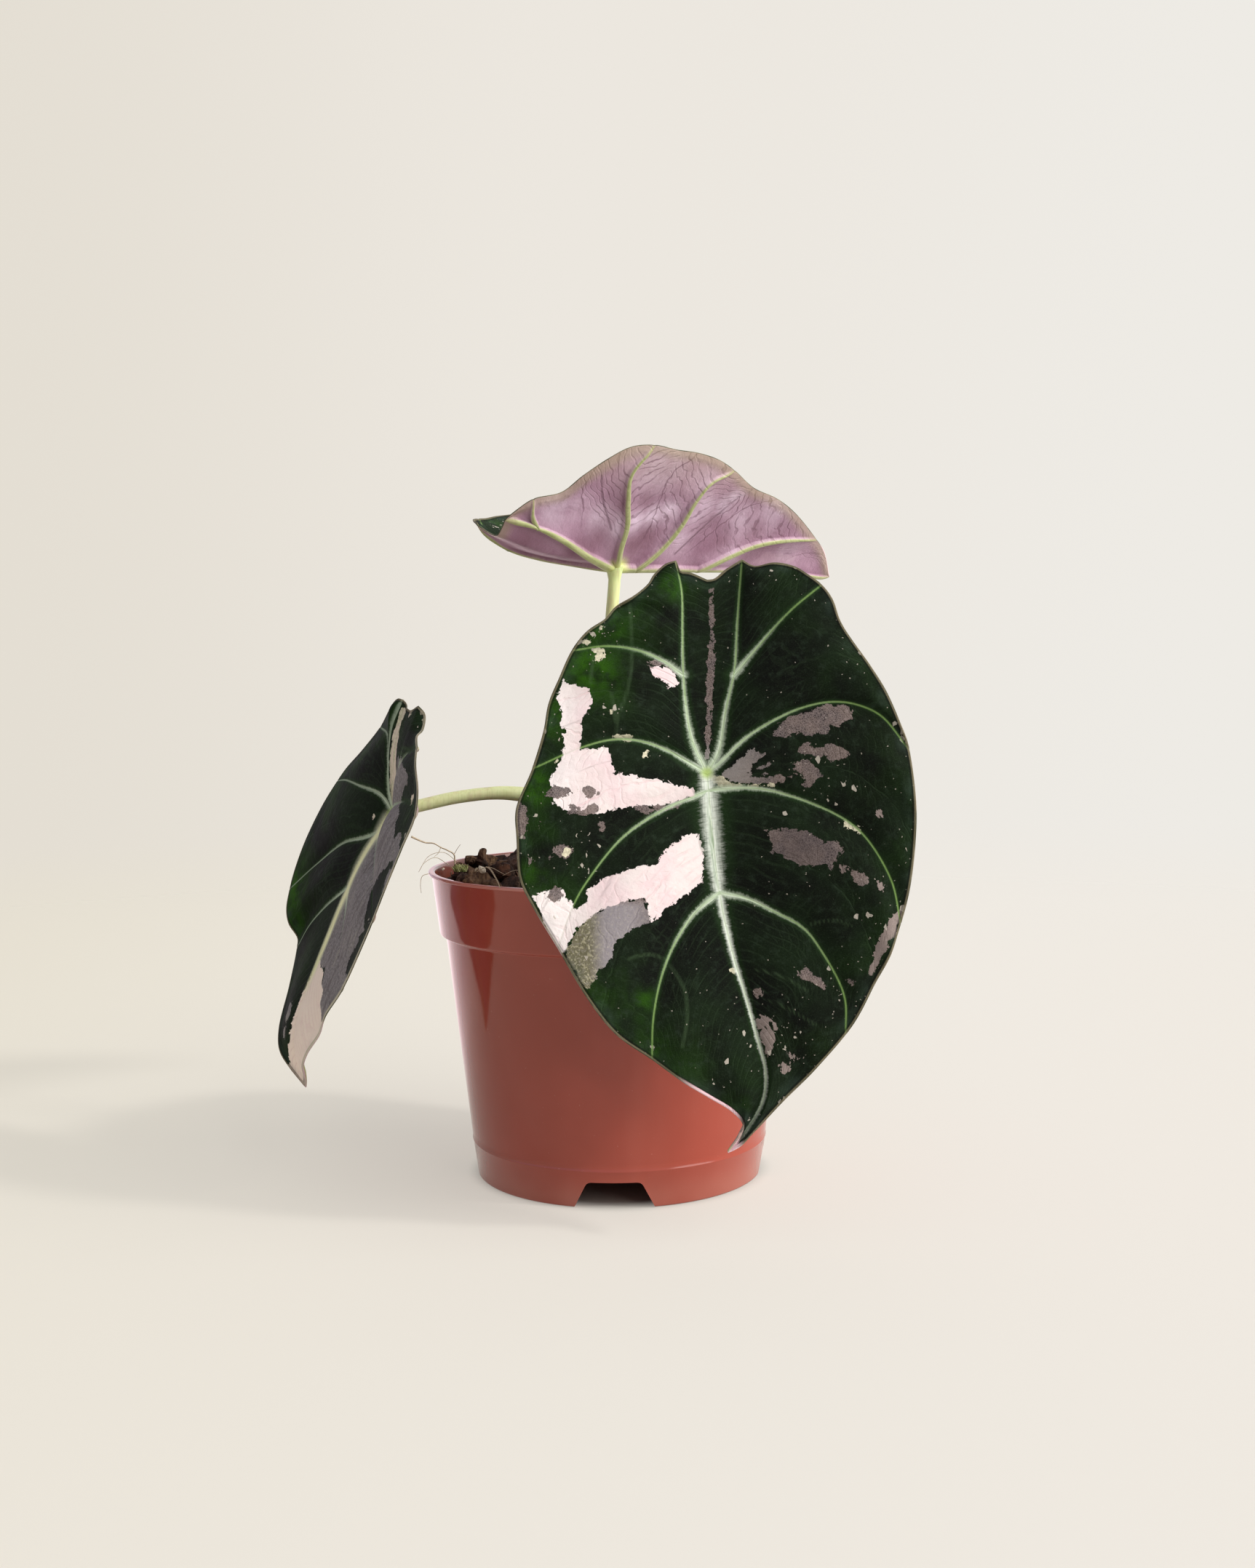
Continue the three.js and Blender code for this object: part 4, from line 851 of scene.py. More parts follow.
def measure_line(flat, line):
    """Distance to a line, the side of it as a sign, and mm along it."""
    start, step = line[:-1], np.diff(line, axis=0)
    lengths = np.linalg.norm(step, axis=1)
    before = np.concatenate([[0], np.cumsum(lengths)[:-1]])
    away = flat[:, None] - start[None]
    share = np.clip((away * step).sum(2) / lengths**2, 0, 1)
    gap = np.linalg.norm(away - share[:, :, None] * step, axis=2)
    near = gap.argmin(1)
    rows = np.arange(len(flat))
    cross = step[near, 0] * away[rows, near, 1] - step[near, 1] * away[rows, near, 0]
    return gap[rows, near], np.sign(cross), before[near] + share[rows, near] * lengths[near]


def inside_outline(flat, outline):
    """mm inside an outline, negative outside."""
    ring = np.array([*outline, outline[0]], float)
    gap, _, _ = measure_line(flat, ring)
    x, y = flat[:, :1], flat[:, 1:]
    x0, y0, x1, y1 = ring[:-1, 0], ring[:-1, 1], ring[1:, 0], ring[1:, 1]
    spans = (y0 <= y) != (y1 <= y)
    rise = np.where(y1 == y0, 1, y1 - y0)
    crossings = (spans & (x < x0 + (y - y0) * (x1 - x0) / rise)).sum(1)
    return np.where(crossings % 2 == 1, gap, -gap)


def deepest_inside(flat, outlines):
    depth = np.full(len(flat), -float(MARK_REACH))
    for outline in outlines:
        depth = np.maximum(depth, inside_outline(flat, outline))
    return np.minimum(depth, MARK_REACH)


def soft_spots(flat, spots):
    total = np.zeros(len(flat))
    for x, y, radius, strength in spots:
        gap = np.hypot(flat[:, 0] - x, flat[:, 1] - y) / radius
        total = np.maximum(total, strength * np.exp(-gap**2))
    return total


def rib_lines(leaf, look):
    """Every rib of a blade: its line, its half width along it, and how bright it stays to its end."""
    ribs = [(dense_line([(0, 0), *leaf["midrib"], leaf["tip"]]), look["midrib_half"], MIDRIB_END_TONE)]
    for side in ("left", "right"):
        lines = side_lines(leaf, side)
        half = leaf[side]
        ribs.append((dense_line([(0, 0), *half["costa"], half["lobe"]]), look["costa_half"], COSTA_END_TONE))
        for start, (via, to) in zip(leaf["veins_at"], half["veins"]):
            route = [on_rib(lines, np.array([start]))[0], *via, to]
            thin = min(1, (Curve(route).length / SHORT_VEIN) ** 1.5)
            widths = [(s, h * thin) for s, h in look["vein_half"]]
            ribs.append((dense_line(route), widths, VEIN_END_TONE))
    return ribs


def rib_marks(flat, leaf, look):
    """The rib that each point belongs to: distance from it, half width, place along it and brightness."""
    marks = {}
    best = np.full(len(flat), np.inf)
    for i, (line, profile, end_tone) in enumerate(rib_lines(leaf, look)):
        gap, side, along = measure_line(flat, line)
        half = np.interp(along, [s for s, _ in profile], [h for _, h in profile])
        length = np.linalg.norm(np.diff(line, axis=0), axis=1).sum()
        near = gap / half < best
        best = np.where(near, gap / half, best)
        values = {
            "rib_mm": gap,
            "rib_half": half,
            "rib_along": along + RIB_SPACE * i,
            "rib_side": gap * side,
            "rib_tone": lerp(1, end_tone, np.clip(along / length, 0, 1)),
        }
        for name, value in values.items():
            marks[name] = np.where(near, value, marks.get(name, 0))
    return marks


def margin_line(leaf):
    """The whole margin as one flat line, from notch round the tip and back."""
    sides = []
    for side in ("left", "right"):
        lines = side_lines(leaf, side)
        inner = lines["inner"].by_length(np.linspace(1, 0, INNER_MARGIN_POINTS))[:, :2]
        outer = lines["margin"].by_length(np.linspace(0, 1, OUTER_MARGIN_POINTS))[:, :2]
        sides.append(np.concatenate([inner, outer[1:]]))
    return np.concatenate([sides[0], sides[1][::-1][1:]])


def blade_marks(flat, leaf, look):
    plane = flat[:, :2]
    marks = rib_marks(plane, leaf, look)
    for name in ("pink", "grey", "cream"):
        marks[name] = deepest_inside(plane, look[name])
    thin = np.full(len(plane), float(MARK_REACH))
    for line in look["thin_lines"]:
        thin = np.minimum(thin, measure_line(plane, dense_line(line))[0])
    marks["thin_mm"] = thin
    marks["margin_mm"] = measure_line(plane, margin_line(leaf))[0]
    marks["green"] = soft_spots(plane, look["green"])
    marks["flecks"] = soft_spots(plane, look["flecks"])
    for name in ("glow", "dim"):
        marks[name] = soft_spots(plane, look.get(name, []))
    marks["milky"] = np.full(len(plane), float(look.get("milky", 0)))
    return marks


# Meshes and pieces

def make_object(name, points, faces, materials, face_material=None, smooth=True):
    """A mesh object from points in mm from the pot's axis."""
    mesh = bpy.data.meshes.new(name)
    places = np.asarray(points, float) / 1000 + np.array(POT_AXIS)
    mesh.from_pydata(places.tolist(), [], [list(map(int, face)) for face in faces])
    for material in materials:
        mesh.materials.append(material)
    if face_material is not None:
        mesh.polygons.foreach_set("material_index", np.asarray(face_material, np.int32))
    mesh.polygons.foreach_set("use_smooth", np.full(len(mesh.polygons), smooth))
    mesh.update()
    piece = bpy.data.objects.new(name, mesh)
    bpy.context.scene.collection.objects.link(piece)
    return piece


def set_mark(piece, name, values):
    """Keeps a number, or a place, for each point under this name."""
    values = np.asarray(values, np.float32)
    kind, field = ("FLOAT", "value") if values.ndim == 1 else ("FLOAT_VECTOR", "vector")
    piece.data.attributes.new(name, kind, "POINT").data.foreach_set(field, values.reshape(-1))


def show(piece, slot, *nodes):
    """Hangs a piece on the root body and hides the imported nodes that it stands for; its slot is not used.
    """
    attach(piece, "root")
    if nodes:
        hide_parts(*nodes)


def point_normals(points, triangles):
    a, b, c = (points[triangles[:, k]] for k in range(3))
    face = np.cross(b - a, c - a)
    normals = np.zeros_like(points)
    for k in range(3):
        np.add.at(normals, triangles[:, k], face)
    return normals / np.maximum(np.linalg.norm(normals, axis=1)[:, None], 1e-12)


def open_edges(triangles, count):
    """Edges with one triangle, in that triangle's direction."""
    edges = np.concatenate([triangles[:, [0, 1]], triangles[:, [1, 2]], triangles[:, [2, 0]]])
    keys = edges[:, 0] * count + edges[:, 1]
    turned = edges[:, 1] * count + edges[:, 0]
    return edges[~np.isin(keys, turned)]


def rib_relief(marks):
    """How far the ribs stand out below the blade."""
    width = np.maximum(0.75 * marks["rib_half"], 0.5)
    height = lerp(RIB_LEAST_DEPTH, RIB_DEPTH, np.clip(marks["rib_half"] / WIDEST_RIB, 0, 1))
    share = np.clip(marks["rib_mm"] / width, 0, 1)
    return height * np.sqrt(1 - share**2)


def make_leaf(name, node, leaf, look, materials):
    flat, triangles, vein_marks = joined_sheet(leaf)
    marks = blade_marks(flat, leaf, look) | vein_marks
    near_rib = np.exp(-1.2 * (marks["rib_mm"] / marks["rib_half"]) ** 2)
    raised = flat.copy()
    raised[:, 2] -= RIB_SINK * near_rib * marks["rib_tone"]
    top = placed(leaf, folded(leaf, raised))
    normals = point_normals(top, triangles)
    thickness = lerp(MARGIN_THICKNESS, BLADE_THICKNESS, np.clip(marks["margin_mm"] / THIN_BORDER, 0, 1))
    depth = thickness + rib_relief(marks) * np.clip(marks["margin_mm"] / FLAT_BORDER, 0, 1)
    bottom = top - normals * depth[:, None]
    rim, rim_ids, rim_faces = blade_rim(top, bottom, normals, triangles)
    faces = np.concatenate([triangles, len(top) + triangles[:, ::-1], rim_faces])
    kinds = np.repeat([0, 1, 2], [len(triangles), len(triangles), len(rim_faces)])
    piece = make_object(name, np.concatenate([top, bottom, rim]), faces, materials, kinds)
    marks["flat"] = np.column_stack([flat[:, :2], np.full(len(flat), look["seed"])])
    for mark, values in marks.items():
        set_mark(piece, mark, np.concatenate([values, values, values[rim_ids]]))
    show(piece, "leaf_blade", node)


def blade_rim(top, bottom, normals, triangles):
    """A round edge between the two faces: its points, the points beside it, and its faces."""
    edges = open_edges(triangles, len(top))
    a, b = edges[:, 0], edges[:, 1]
    ids = np.unique(edges)
    place = np.full(len(top), -1)
    place[ids] = np.arange(len(ids)) + 2 * len(top)
    outside = np.zeros_like(top)
    for end in (a, b):
        np.add.at(outside, end, np.cross(top[b] - top[a], normals[a]))
    outside /= np.maximum(np.linalg.norm(outside, axis=1)[:, None], 1e-12)
    rim = (top + bottom)[ids] / 2 + outside[ids] * RIM_ROUND
    low_a, low_b = len(top) + a, len(top) + b
    upper = ((b, a, place[a]), (b, place[a], place[b]))
    lower = ((place[b], place[a], low_a), (place[b], low_a, low_b))
    return rim, ids, np.concatenate([np.stack(corners, 1) for corners in (*upper, *lower)])


# Materials

def colour(red, green, blue):
    """A colour as the eye sees it, 0 to 255, as light amounts."""
    def light(value):
        share = value / 255
        return share / 12.92 if share <= 0.04045 else ((share + 0.055) / 1.055) ** 2.4
    return (light(red), light(green), light(blue), 1)


class Value:
    """What a node gives, so that a material reads as plain arithmetic."""

    def __init__(self, shade, socket):
        self.shade = shade
        self.socket = socket

    def __add__(self, other):
        return self.shade.math("ADD", self, other)

    def __sub__(self, other):
        return self.shade.math("SUBTRACT", self, other)

    def __rsub__(self, other):
        return self.shade.math("SUBTRACT", other, self)

    def __mul__(self, other):
        return self.shade.math("MULTIPLY", self, other)

    def __truediv__(self, other):
        return self.shade.math("DIVIDE", self, other)

    def __pow__(self, other):
        return self.shade.math("POWER", self, other)

    def __lt__(self, other):
        return self.shade.math("LESS_THAN", self, other)

    def __gt__(self, other):
        return self.shade.math("GREATER_THAN", self, other)

    def __abs__(self):
        return self.shade.math("ABSOLUTE", self)

    def fade(self, low, high, start=0, end=1):
        """Goes smoothly from start to end as the value goes from low to high."""
        inlets = {"Value": self, "From Min": low, "From Max": high, "To Min": start, "To Max": end}
        return self.shade.node("ShaderNodeMapRange", "Result", inlets, interpolation_type="SMOOTHSTEP")

    def lines(self, gap):
        """One on lines this far apart along a distance, nought between them."""
        return self.shade.math("SINE", self * (2 * math.pi / gap)).fade(0.55, 1)

    def part(self, axis):
        return self.shade.node("ShaderNodeSeparateXYZ", axis, {0: self})

    def stretch(self, *scale):
        return self.shade.node("ShaderNodeVectorMath", 0, {0: self, 1: scale}, operation="MULTIPLY")

    def noise(self, scale, detail=2, rough=0.5):
        inlets = {"Vector": self, "Scale": scale, "Detail": detail, "Roughness": rough}
        return self.shade.node("ShaderNodeTexNoise", "Fac", inlets)

    def cell(self, scale):
        """One random number for each cell."""
        return self.shade.node("ShaderNodeTexVoronoi", "Color", {"Vector": self, "Scale": scale}).part(0)

    def cell_edge(self, scale):
        """The distance from the edge of a cell."""
        inlets = {"Vector": self, "Scale": scale}
        return self.shade.node("ShaderNodeTexVoronoi", "Distance", inlets, feature="DISTANCE_TO_EDGE")


class Shade:
    """A node tree written as short calls."""

    def __init__(self, tree):
        self.tree = tree

    def feed(self, socket, value):
        if isinstance(value, Value):
            self.tree.links.new(value.socket, socket)
        else:
            socket.default_value = value

    def node(self, kind, outlet, inlets, **settings):
        node = self.tree.nodes.new(kind)
        for key, value in settings.items():
            setattr(node, key, value)
        for key, value in inlets.items():
            self.feed(node.inputs[key], value)
        return Value(self, node.outputs[outlet])

    def math(self, operation, *inlets):
        return self.node("ShaderNodeMath", 0, dict(enumerate(inlets)), operation=operation)

    def most(self, a, b):
        return self.math("MAXIMUM", a, b)

    def round(self, x, y):
        """The distance from the middle."""
        return (x * x + y * y) ** 0.5

    def join(self, x, y):
        return self.node("ShaderNodeCombineXYZ", 0, {0: x, 1: y})

    def ray(self, kind):
        """One for rays of a kind, such as Is Glossy Ray."""
        return self.node("ShaderNodeLightPath", kind, {})

    def mix(self, share, a, b):
        tones = [colour(*tone) if isinstance(tone, tuple) else tone for tone in (a, b)]
        return self.node("ShaderNodeMix", 2, {0: share, 6: tones[0], 7: tones[1]}, data_type="RGBA")

    def coats(self, ground, *coats):
        """Lays colours over a ground, one after another, each by its own share."""
        for share, tone in coats:
            ground = self.mix(share, ground, tone)
        return ground


class Finish(Shade):
    """A surface's material."""

    def __init__(self, name, roughness, gloss, sheen=0):
        self.material = bpy.data.materials.new(name)
        self.material.use_nodes = True
        super().__init__(self.material.node_tree)
        self.surface = self.tree.nodes["Principled BSDF"]
        self.set("Roughness", roughness)
        self.set("Specular IOR Level", gloss)
        self.set("Sheen Weight", sheen)

    def set(self, socket, value):
        self.feed(self.surface.inputs[socket], value)

    def mark(self, name):
        return self.node("ShaderNodeAttribute", "Fac", {}, attribute_name=name)

    def flat(self):
        """The point's place on the flat blade, in mm."""
        return self.node("ShaderNodeAttribute", "Vector", {}, attribute_name="flat")

    def place(self):
        """The point in the object's own metres."""
        return self.node("ShaderNodeTexCoord", "Object", {})

    def from_axis(self):
        """The point's x and y from the pot's axis, in metres."""
        place = self.place()
        return [place.part(axis) - POT_AXIS[axis] for axis in (0, 1)]

    def bump(self, height, distance, strength):
        inlets = {"Height": height, "Distance": distance, "Strength": strength}
        self.set("Normal", self.node("ShaderNodeBump", 0, inlets))

    def paint(self, value):
        self.set("Base Color", value)
        return self.material


def ragged_inside(s, flat, name):
    """One inside a marked patch, with the angular, torn edge that follows the leaf's small cells."""
    coarse = flat.noise(0.3, 3, 0.6).fade(0.25, 0.75, -1, 1)
    torn = coarse + (flat.cell(0.5) - 0.5) * 1.9 + (flat.cell(1.5) - 0.5) * 1.1
    return (s.mark(name) + torn * TORN_MM[name]).fade(-0.08, 0.08)


def rib_near(s):
    """The distance from a rib in its own half widths."""
    return s.mark("rib_mm") / s.mark("rib_half")


def rib_shares(s):
    """Halo and core of the ribs: soft and hairy at the edge, streaked along."""
    along, side = s.mark("rib_along"), s.mark("rib_side")
    hairs = s.join(along * 2, side * 0.5).noise(1, 3, 0.65)
    lumps = s.join(along * 0.4, side * 0.3).noise(1)
    reach = hairs.fade(0.2, 0.8, 0.8, 1.45) + lumps.fade(0.2, 0.8, -0.1, 0.25)
    soft = (rib_near(s) / reach).fade(1, 0)
    streaks = s.join(along * 0.12, side * 2.6).noise(1, 3, 0.6)
    halo = soft * soft * streaks.fade(0.3, 0.7, 0.75, 1.15)
    return halo, s.mark("rib_mm").fade(0.42, 0.05), streaks


def veinlets(s, flat):
    """Fine veins: straight out from the ribs, then branching across to the middle of each sector."""
    wander = flat.noise(0.05, 1).fade(0.2, 0.8, -1.6, 1.6)
    outward, rib = s.mark("outward_mm"), s.mark("rib_mm")
    straight = (s.mark("start_mm") + wander).lines(VEINLET_GAP) * outward.fade(14, 34, 1, 0.25)
    bend = rib * (rib * -BRANCH_BEND - BRANCH_SLOPE)
    wobble = flat.noise(0.2).fade(0.25, 0.75, -1.3, 1.3)
    branch = (outward + bend + wander * 1.5 + wobble).lines(BRANCH_GAP) * outward.fade(6, 20)
    middle = abs(s.mark("middle_mm") + flat.noise(0.2).fade(0.2, 0.8, -0.7, 0.7))
    return straight, branch, middle.fade(0.5, 0.1) * outward.fade(4, 16)


def velvet_material():
    """The upper face: near-black green velvet with pale ribs and pink and grey patches."""
    s = Finish("leaf_velvet", 0.72, 0.045, 0.014)
    s.set("Sheen Roughness", 0.4)
    s.set("Sheen Tint", colour(190, 205, 190))
    flat = s.flat()
    grain = flat.noise(2.6, 3, 0.75)
    left = flat.part(0).fade(20, -30)
    edge_green = s.mark("margin_mm").fade(24, 3) * flat.noise(0.07, 3).fade(0.4, 0.65)
    green = s.mark("green") * flat.noise(0.2, 4).fade(0.3, 0.6, 0.2, 1)
    straight, branch, middle = veinlets(s, flat)
    fine = s.most(straight * 0.75, s.most(branch * 0.5, middle))
    fine = fine * flat.noise(0.14, 3).fade(0.35, 0.65, 0.15, 1)
    ground = s.coats(
        s.mix(flat.noise(0.05, 3).fade(0.35, 0.68), (12, 14, 11), (20, 31, 17)),
        (s.most(green, edge_green * left.fade(0, 1, 0.08, 0.26)), (44, 84, 10)),
        (fine * 0.13, (72, 94, 66)),
        (grain.fade(0.52, 0.8, 0, 0.36), (66, 80, 62)),
        (grain.fade(0.5, 0.25, 0, 0.6), (4, 6, 4)),
        (flat.noise(0.35, 4, 0.7).fade(0.5, 0.72, 0, 0.45), (42, 54, 42)),
        (s.mark("thin_mm").fade(0.9, 0.1) * 0.22, (80, 102, 72)),
    )
    ground = patch_paint(s, flat, ground, fine)
    ground = rib_paint(s, flat, ground)
    s.bump(grain * 0.3 - fine * 0.9 + flat.noise(0.5, 3) * 1.2, 0.00025, 0.7)
    return s.paint(margin_paint(s, flat, ground))


def rib_paint(s, flat, ground):
    """Pale, fuzzy ribs that turn greener outwards, and the yellow-green hub."""
    halo, core, streaks = rib_shares(s)
    along, tone, milky = s.mark("rib_along"), s.mark("rib_tone"), s.mark("milky")
    pink, midrib = s.mark("pink").fade(-0.2, 0.4), along.fade(RIB_SPACE - 1, RIB_SPACE - 2)
    hidden = milky * flat.part(0).fade(3, 8) * tone.fade(0.86, 0.62) * (1 - midrib)
    dull = s.mix(milky, (92, 116, 76), (152, 166, 146))
    pale = s.coats(
        dull,
        (tone.fade(0.5, 1), (180, 198, 170)),
        (midrib * tone.fade(0.4, 0.8), (220, 228, 216)),
        (streaks.fade(0.35, 0.7, 0, 0.5) * tone.fade(0.5, 1), (240, 244, 234)),
        (milky * midrib * 0.9, (226, 222, 166)),
    )
    bright = s.mix(milky, s.mix(tone.fade(0.4, 1), (116, 146, 80), (150, 174, 122)), dull)
    around = rib_near(s).fade(2.4, 0.5) * (1 - pink) * ragged_inside(s, flat, "grey").fade(0.5, 0)
    strength = halo ** tone.fade(0.5, 1, 1.15, 0.7) * tone.fade(0.3, 1, 0.7, 1) * (1 - hidden)
    shown = pink.fade(0, 1, 0.7, 0.1) * tone.fade(0.75, 1, 1, 0.5)
    shown = shown * (1 - hidden) * (1 - milky * midrib * 0.9)
    beside = abs(s.mark("rib_side") + streaks.fade(0.3, 0.7, -0.1, 0.9)).fade(0.6, 0.1)
    return s.coats(
        ground,
        (around * 0.45, (38, 62, 30)),
        (strength * pink.fade(0, 1, 1, 0.12), pale),
        (core * shown, bright),
        # A darker green stripe beside the middle of the upper midrib: painted shade on one side of it.
        (along.fade(3, 14) * along.fade(34, 29) * (1 - milky) * beside * 0.5, (72, 112, 54)),
        cream_band(s, flat),
        (s.round(flat.part(0), flat.part(1)).fade(2.6, 0.4), (168, 190, 116)),
    )


def cream_band(s, flat):
    """The cream band down the midrib of the milky leaf: its share and its colour."""
    x, y = flat.part(0), flat.part(1)
    across = x + y.fade(-35, -92, 0, -8)
    width = abs(across) * across.fade(-0.5, 0.5, 2, 1)
    band = s.mark("milky") * y.fade(1, -3) * y.fade(-68, -50)
    band = band * width.fade(y.fade(-60, -20, 4, 7.5), 1.6)
    band = band * flat.stretch(1.2, 0.15, 1).noise(1).fade(0.3, 0.6, 0.7, 1)
    return band * 0.92, s.mix(width.fade(1, 5), (244, 242, 198), (186, 188, 168))


def patch_paint(s, flat, ground, fine):
    """The pink, grey and cream patches and the pale flecks round them."""
    mottle = flat.noise(1.1, 4, 0.7)
    return s.coats(
        ground,
        (ragged_inside(s, flat, "pink"), pink_paint(s, flat, fine)),
        (ragged_inside(s, flat, "grey") * 0.95, grey_paint(s, flat, mottle)),
        (ragged_inside(s, flat, "cream"), cream_paint(s, flat, mottle)),
        (fleck_share(s, flat), (186, 178, 166)),
    )


def pink_paint(s, flat, fine):
    return s.coats(
        s.mix(flat.noise(0.09).fade(0.35, 0.65), (225, 214, 212), (222, 202, 204)),
        (flat.part(0).fade(-34, -42), (232, 223, 222)),
        (s.mark("milky") * 0.9, (248, 230, 216)),
        (fine * 0.45, (226, 186, 190)),
        (flat.noise(1.7, 3).fade(0.68, 0.74, 0, 0.4), (206, 168, 172)),
    )


def grey_paint(s, flat, mottle):
    """Grey with a pale net, lighter near the hub, tip and right edge, and lilac on the milky leaf."""
    x, y = flat.part(0), flat.part(1)
    folds = flat.stretch(0.5, 0.1, 0.1).noise(1, 3, 0.6)
    lilac = s.coats(
        s.mix(mottle.fade(0.36, 0.66), (116, 111, 114), (154, 149, 151)),
        (folds.fade(0.48, 0.66, 0, 0.6), (92, 84, 84)),
        (folds.fade(0.44, 0.3, 0, 0.4), (170, 166, 150)),
    )
    speckled = s.coats(
        s.mix(x.fade(-35, -29), (112, 108, 84), (142, 136, 141)),
        (mottle.fade(0.45, 0.7, 0, 0.5), (170, 164, 156)),
        (flat.cell(2.2).fade(0.8, 0.84) * x.fade(-29, -35) * 0.5, (196, 190, 160)),
    )
    return s.coats(
        s.mix(mottle.fade(0.38, 0.66), (64, 57, 58), (98, 88, 88)),
        (flat.noise(0.14).fade(0.4, 0.62, 0, 0.6), (118, 103, 97)),
        (s.most(y.fade(-60, -70), x.fade(42, 46)) * 0.6, (150, 136, 130)),
        (flat.cell_edge(1.7).fade(0.16, 0) * 0.6, (146, 132, 128)),
        (abs(x).fade(22, 6) * abs(y).fade(9, 6) * 0.7, (146, 141, 138)),
        (s.mark("dim") * 0.6, (76, 67, 68)),
        (s.mark("milky") * 0.9, lilac),
        (x.fade(-12, -24) * y.fade(-35, -38) * 0.9, speckled),
    )


def cream_paint(s, flat, mottle):
    cream = s.mix(mottle.fade(0.4, 0.6), (214, 208, 182), (188, 182, 158))
    seam = s.mix(flat.stretch(0.5, 0.08, 0.1).noise(1).fade(0.4, 0.6), (226, 208, 196), cream)
    return s.mix(s.mark("milky"), cream, seam)


def fleck_share(s, flat):
    """Bits in loose clusters, and dots, both more frequent near the margin."""
    plain = 1 - s.mark("milky")
    chance = s.most(s.mark("flecks"), s.mark("margin_mm").fade(9, 0.5) * plain * 0.22)
    cluster = flat.noise(0.16).fade(0.48, 0.66)
    bits = flat.stretch(1, 0.7, 1).cell(1) < chance * cluster * 0.16
    dots = flat.cell(3.2) < plain * (chance * 0.016 + 0.0008)
    return s.most(bits * 0.75, dots * 0.5)


def low_left_share(flat):
    """One along the margin left of the tip, where the edge is pink."""
    return flat.part(0).fade(9, 6) * flat.part(1).fade(-84, -90)


def margin_paint(s, flat, ground):
    """A faint sheen, a dark line, then a thin pale edge."""
    edge, milky = s.mark("margin_mm"), s.mark("milky")
    pink_edge, right = low_left_share(flat) * (1 - milky), milky * flat.part(0).fade(5, 20)
    pale = s.coats((112, 104, 84), (pink_edge, (226, 192, 200)), (right, (206, 198, 176)))
    return s.coats(
        ground,
        (edge.fade(4.5, 0.8) * flat.noise(0.12).fade(0.42, 0.7) * 0.3, (64, 80, 70)),
        (edge.fade(0.35, 0.6) * edge.fade(1.2, 0.8) * 0.6, (14, 13, 11)),
        (pink_edge * edge.fade(0.8, 0.5), (226, 192, 200)),
        ((edge * right.fade(0, 1, 1, 0.4)).fade(0.55, 0.3) * 0.8, pale),
    )


def underside_material():
    """The lower face: mauve, with pale green ribs that stand out and a dark herringbone between them."""
    s = Finish("leaf_underside", 0.4, 0.3)
    flat = s.flat()
    _, branch, middle = veinlets(s, flat)
    halo, _, streaks = rib_shares(s)
    rib = s.mix(streaks.fade(0.35, 0.65), (156, 164, 108), (184, 188, 138))
    ground = s.coats(
        s.mix(flat.noise(0.07, 3).fade(0.3, 0.7), (150, 111, 133), (182, 146, 168)),
        (flat.noise(2.5, 3).fade(0.35, 0.75, 0, 0.3), (126, 86, 108)),
        # Glow spots: painted highlights.
        (s.mark("glow") * flat.noise(0.2).fade(0.25, 0.6, 0.5, 1) * 0.95, (234, 212, 232)),
        # Dim spots: painted shade.
        (s.mark("dim") * 0.65, (120, 80, 96)),
        (abs(flat.part(0)).fade(24, 42) * 0.45, (188, 164, 160)),
        (branch * flat.noise(0.12, 3).fade(0.42, 0.6, 0.05, 1) * 0.55, (104, 66, 84)),
        (middle * 0.6, (104, 66, 84)),
        (s.mark("thin_mm").fade(0.7, 0.1) * 0.6, (92, 58, 74)),
        (ragged_inside(s, flat, "pink") * 0.15, (214, 184, 192)),
        (halo * 0.75, (212, 196, 184)),
        (rib_near(s).fade(0.62, 0.3), rib),
        (s.round(flat.part(0), flat.part(1)).fade(6, 1.5), (206, 214, 136)),
        (s.mark("margin_mm").fade(4.5, 0.5) * 0.6, (160, 146, 118)),
    )
    s.bump(branch * -0.5 + flat.noise(0.6, 3) * 1.2, 0.00025, 0.7)
    return s.paint(ground)


def rim_material():
    """The cut edge of the blade: dull green, pink beside the pink patches."""
    s = Finish("leaf_rim", 0.6, 0.2)
    flat = s.flat()
    green = s.mix(flat.noise(0.15).fade(0.4, 0.6), (70, 72, 52), (124, 116, 96))
    blush = s.most(s.mark("pink").fade(-1, 0.5, 0, 0.6), (1 - s.mark("milky")) * low_left_share(flat))
    return s.paint(s.mix(blush, green, (222, 190, 196)))


# Pot

def wall_radius(z):
    return BASE_RADIUS + WALL_SLOPE * z


def collar_radius(z):
    return lerp(COLLAR_FOOT_RADIUS, COLLAR_TOP_RADIUS, (z - COLLAR_FOOT_Z) / (LIP_Z - COLLAR_FOOT_Z))


def pot_inner_radius(z):
    if z < COLLAR_STEP_Z:
        return wall_radius(z) - WALL
    rise = min((z - COLLAR_STEP_Z) / COLLAR_STEP_RISE, 1)
    return lerp(wall_radius(COLLAR_STEP_Z), collar_radius(z), rise) - WALL


def round_corner(before, corner, after, radius, steps=4):
    """Points that round a corner of a profile off."""
    before, corner, after = (np.array(p, float) for p in (before, corner, after))
    start = corner + (before - corner) / np.linalg.norm(before - corner) * radius
    end = corner + (after - corner) / np.linalg.norm(after - corner) * radius
    shares = np.linspace(0, 1, steps + 1)[:, None]
    bend = (1 - shares) ** 2 * start + 2 * shares * (1 - shares) * corner + shares**2 * end
    return [tuple(p) for p in bend]


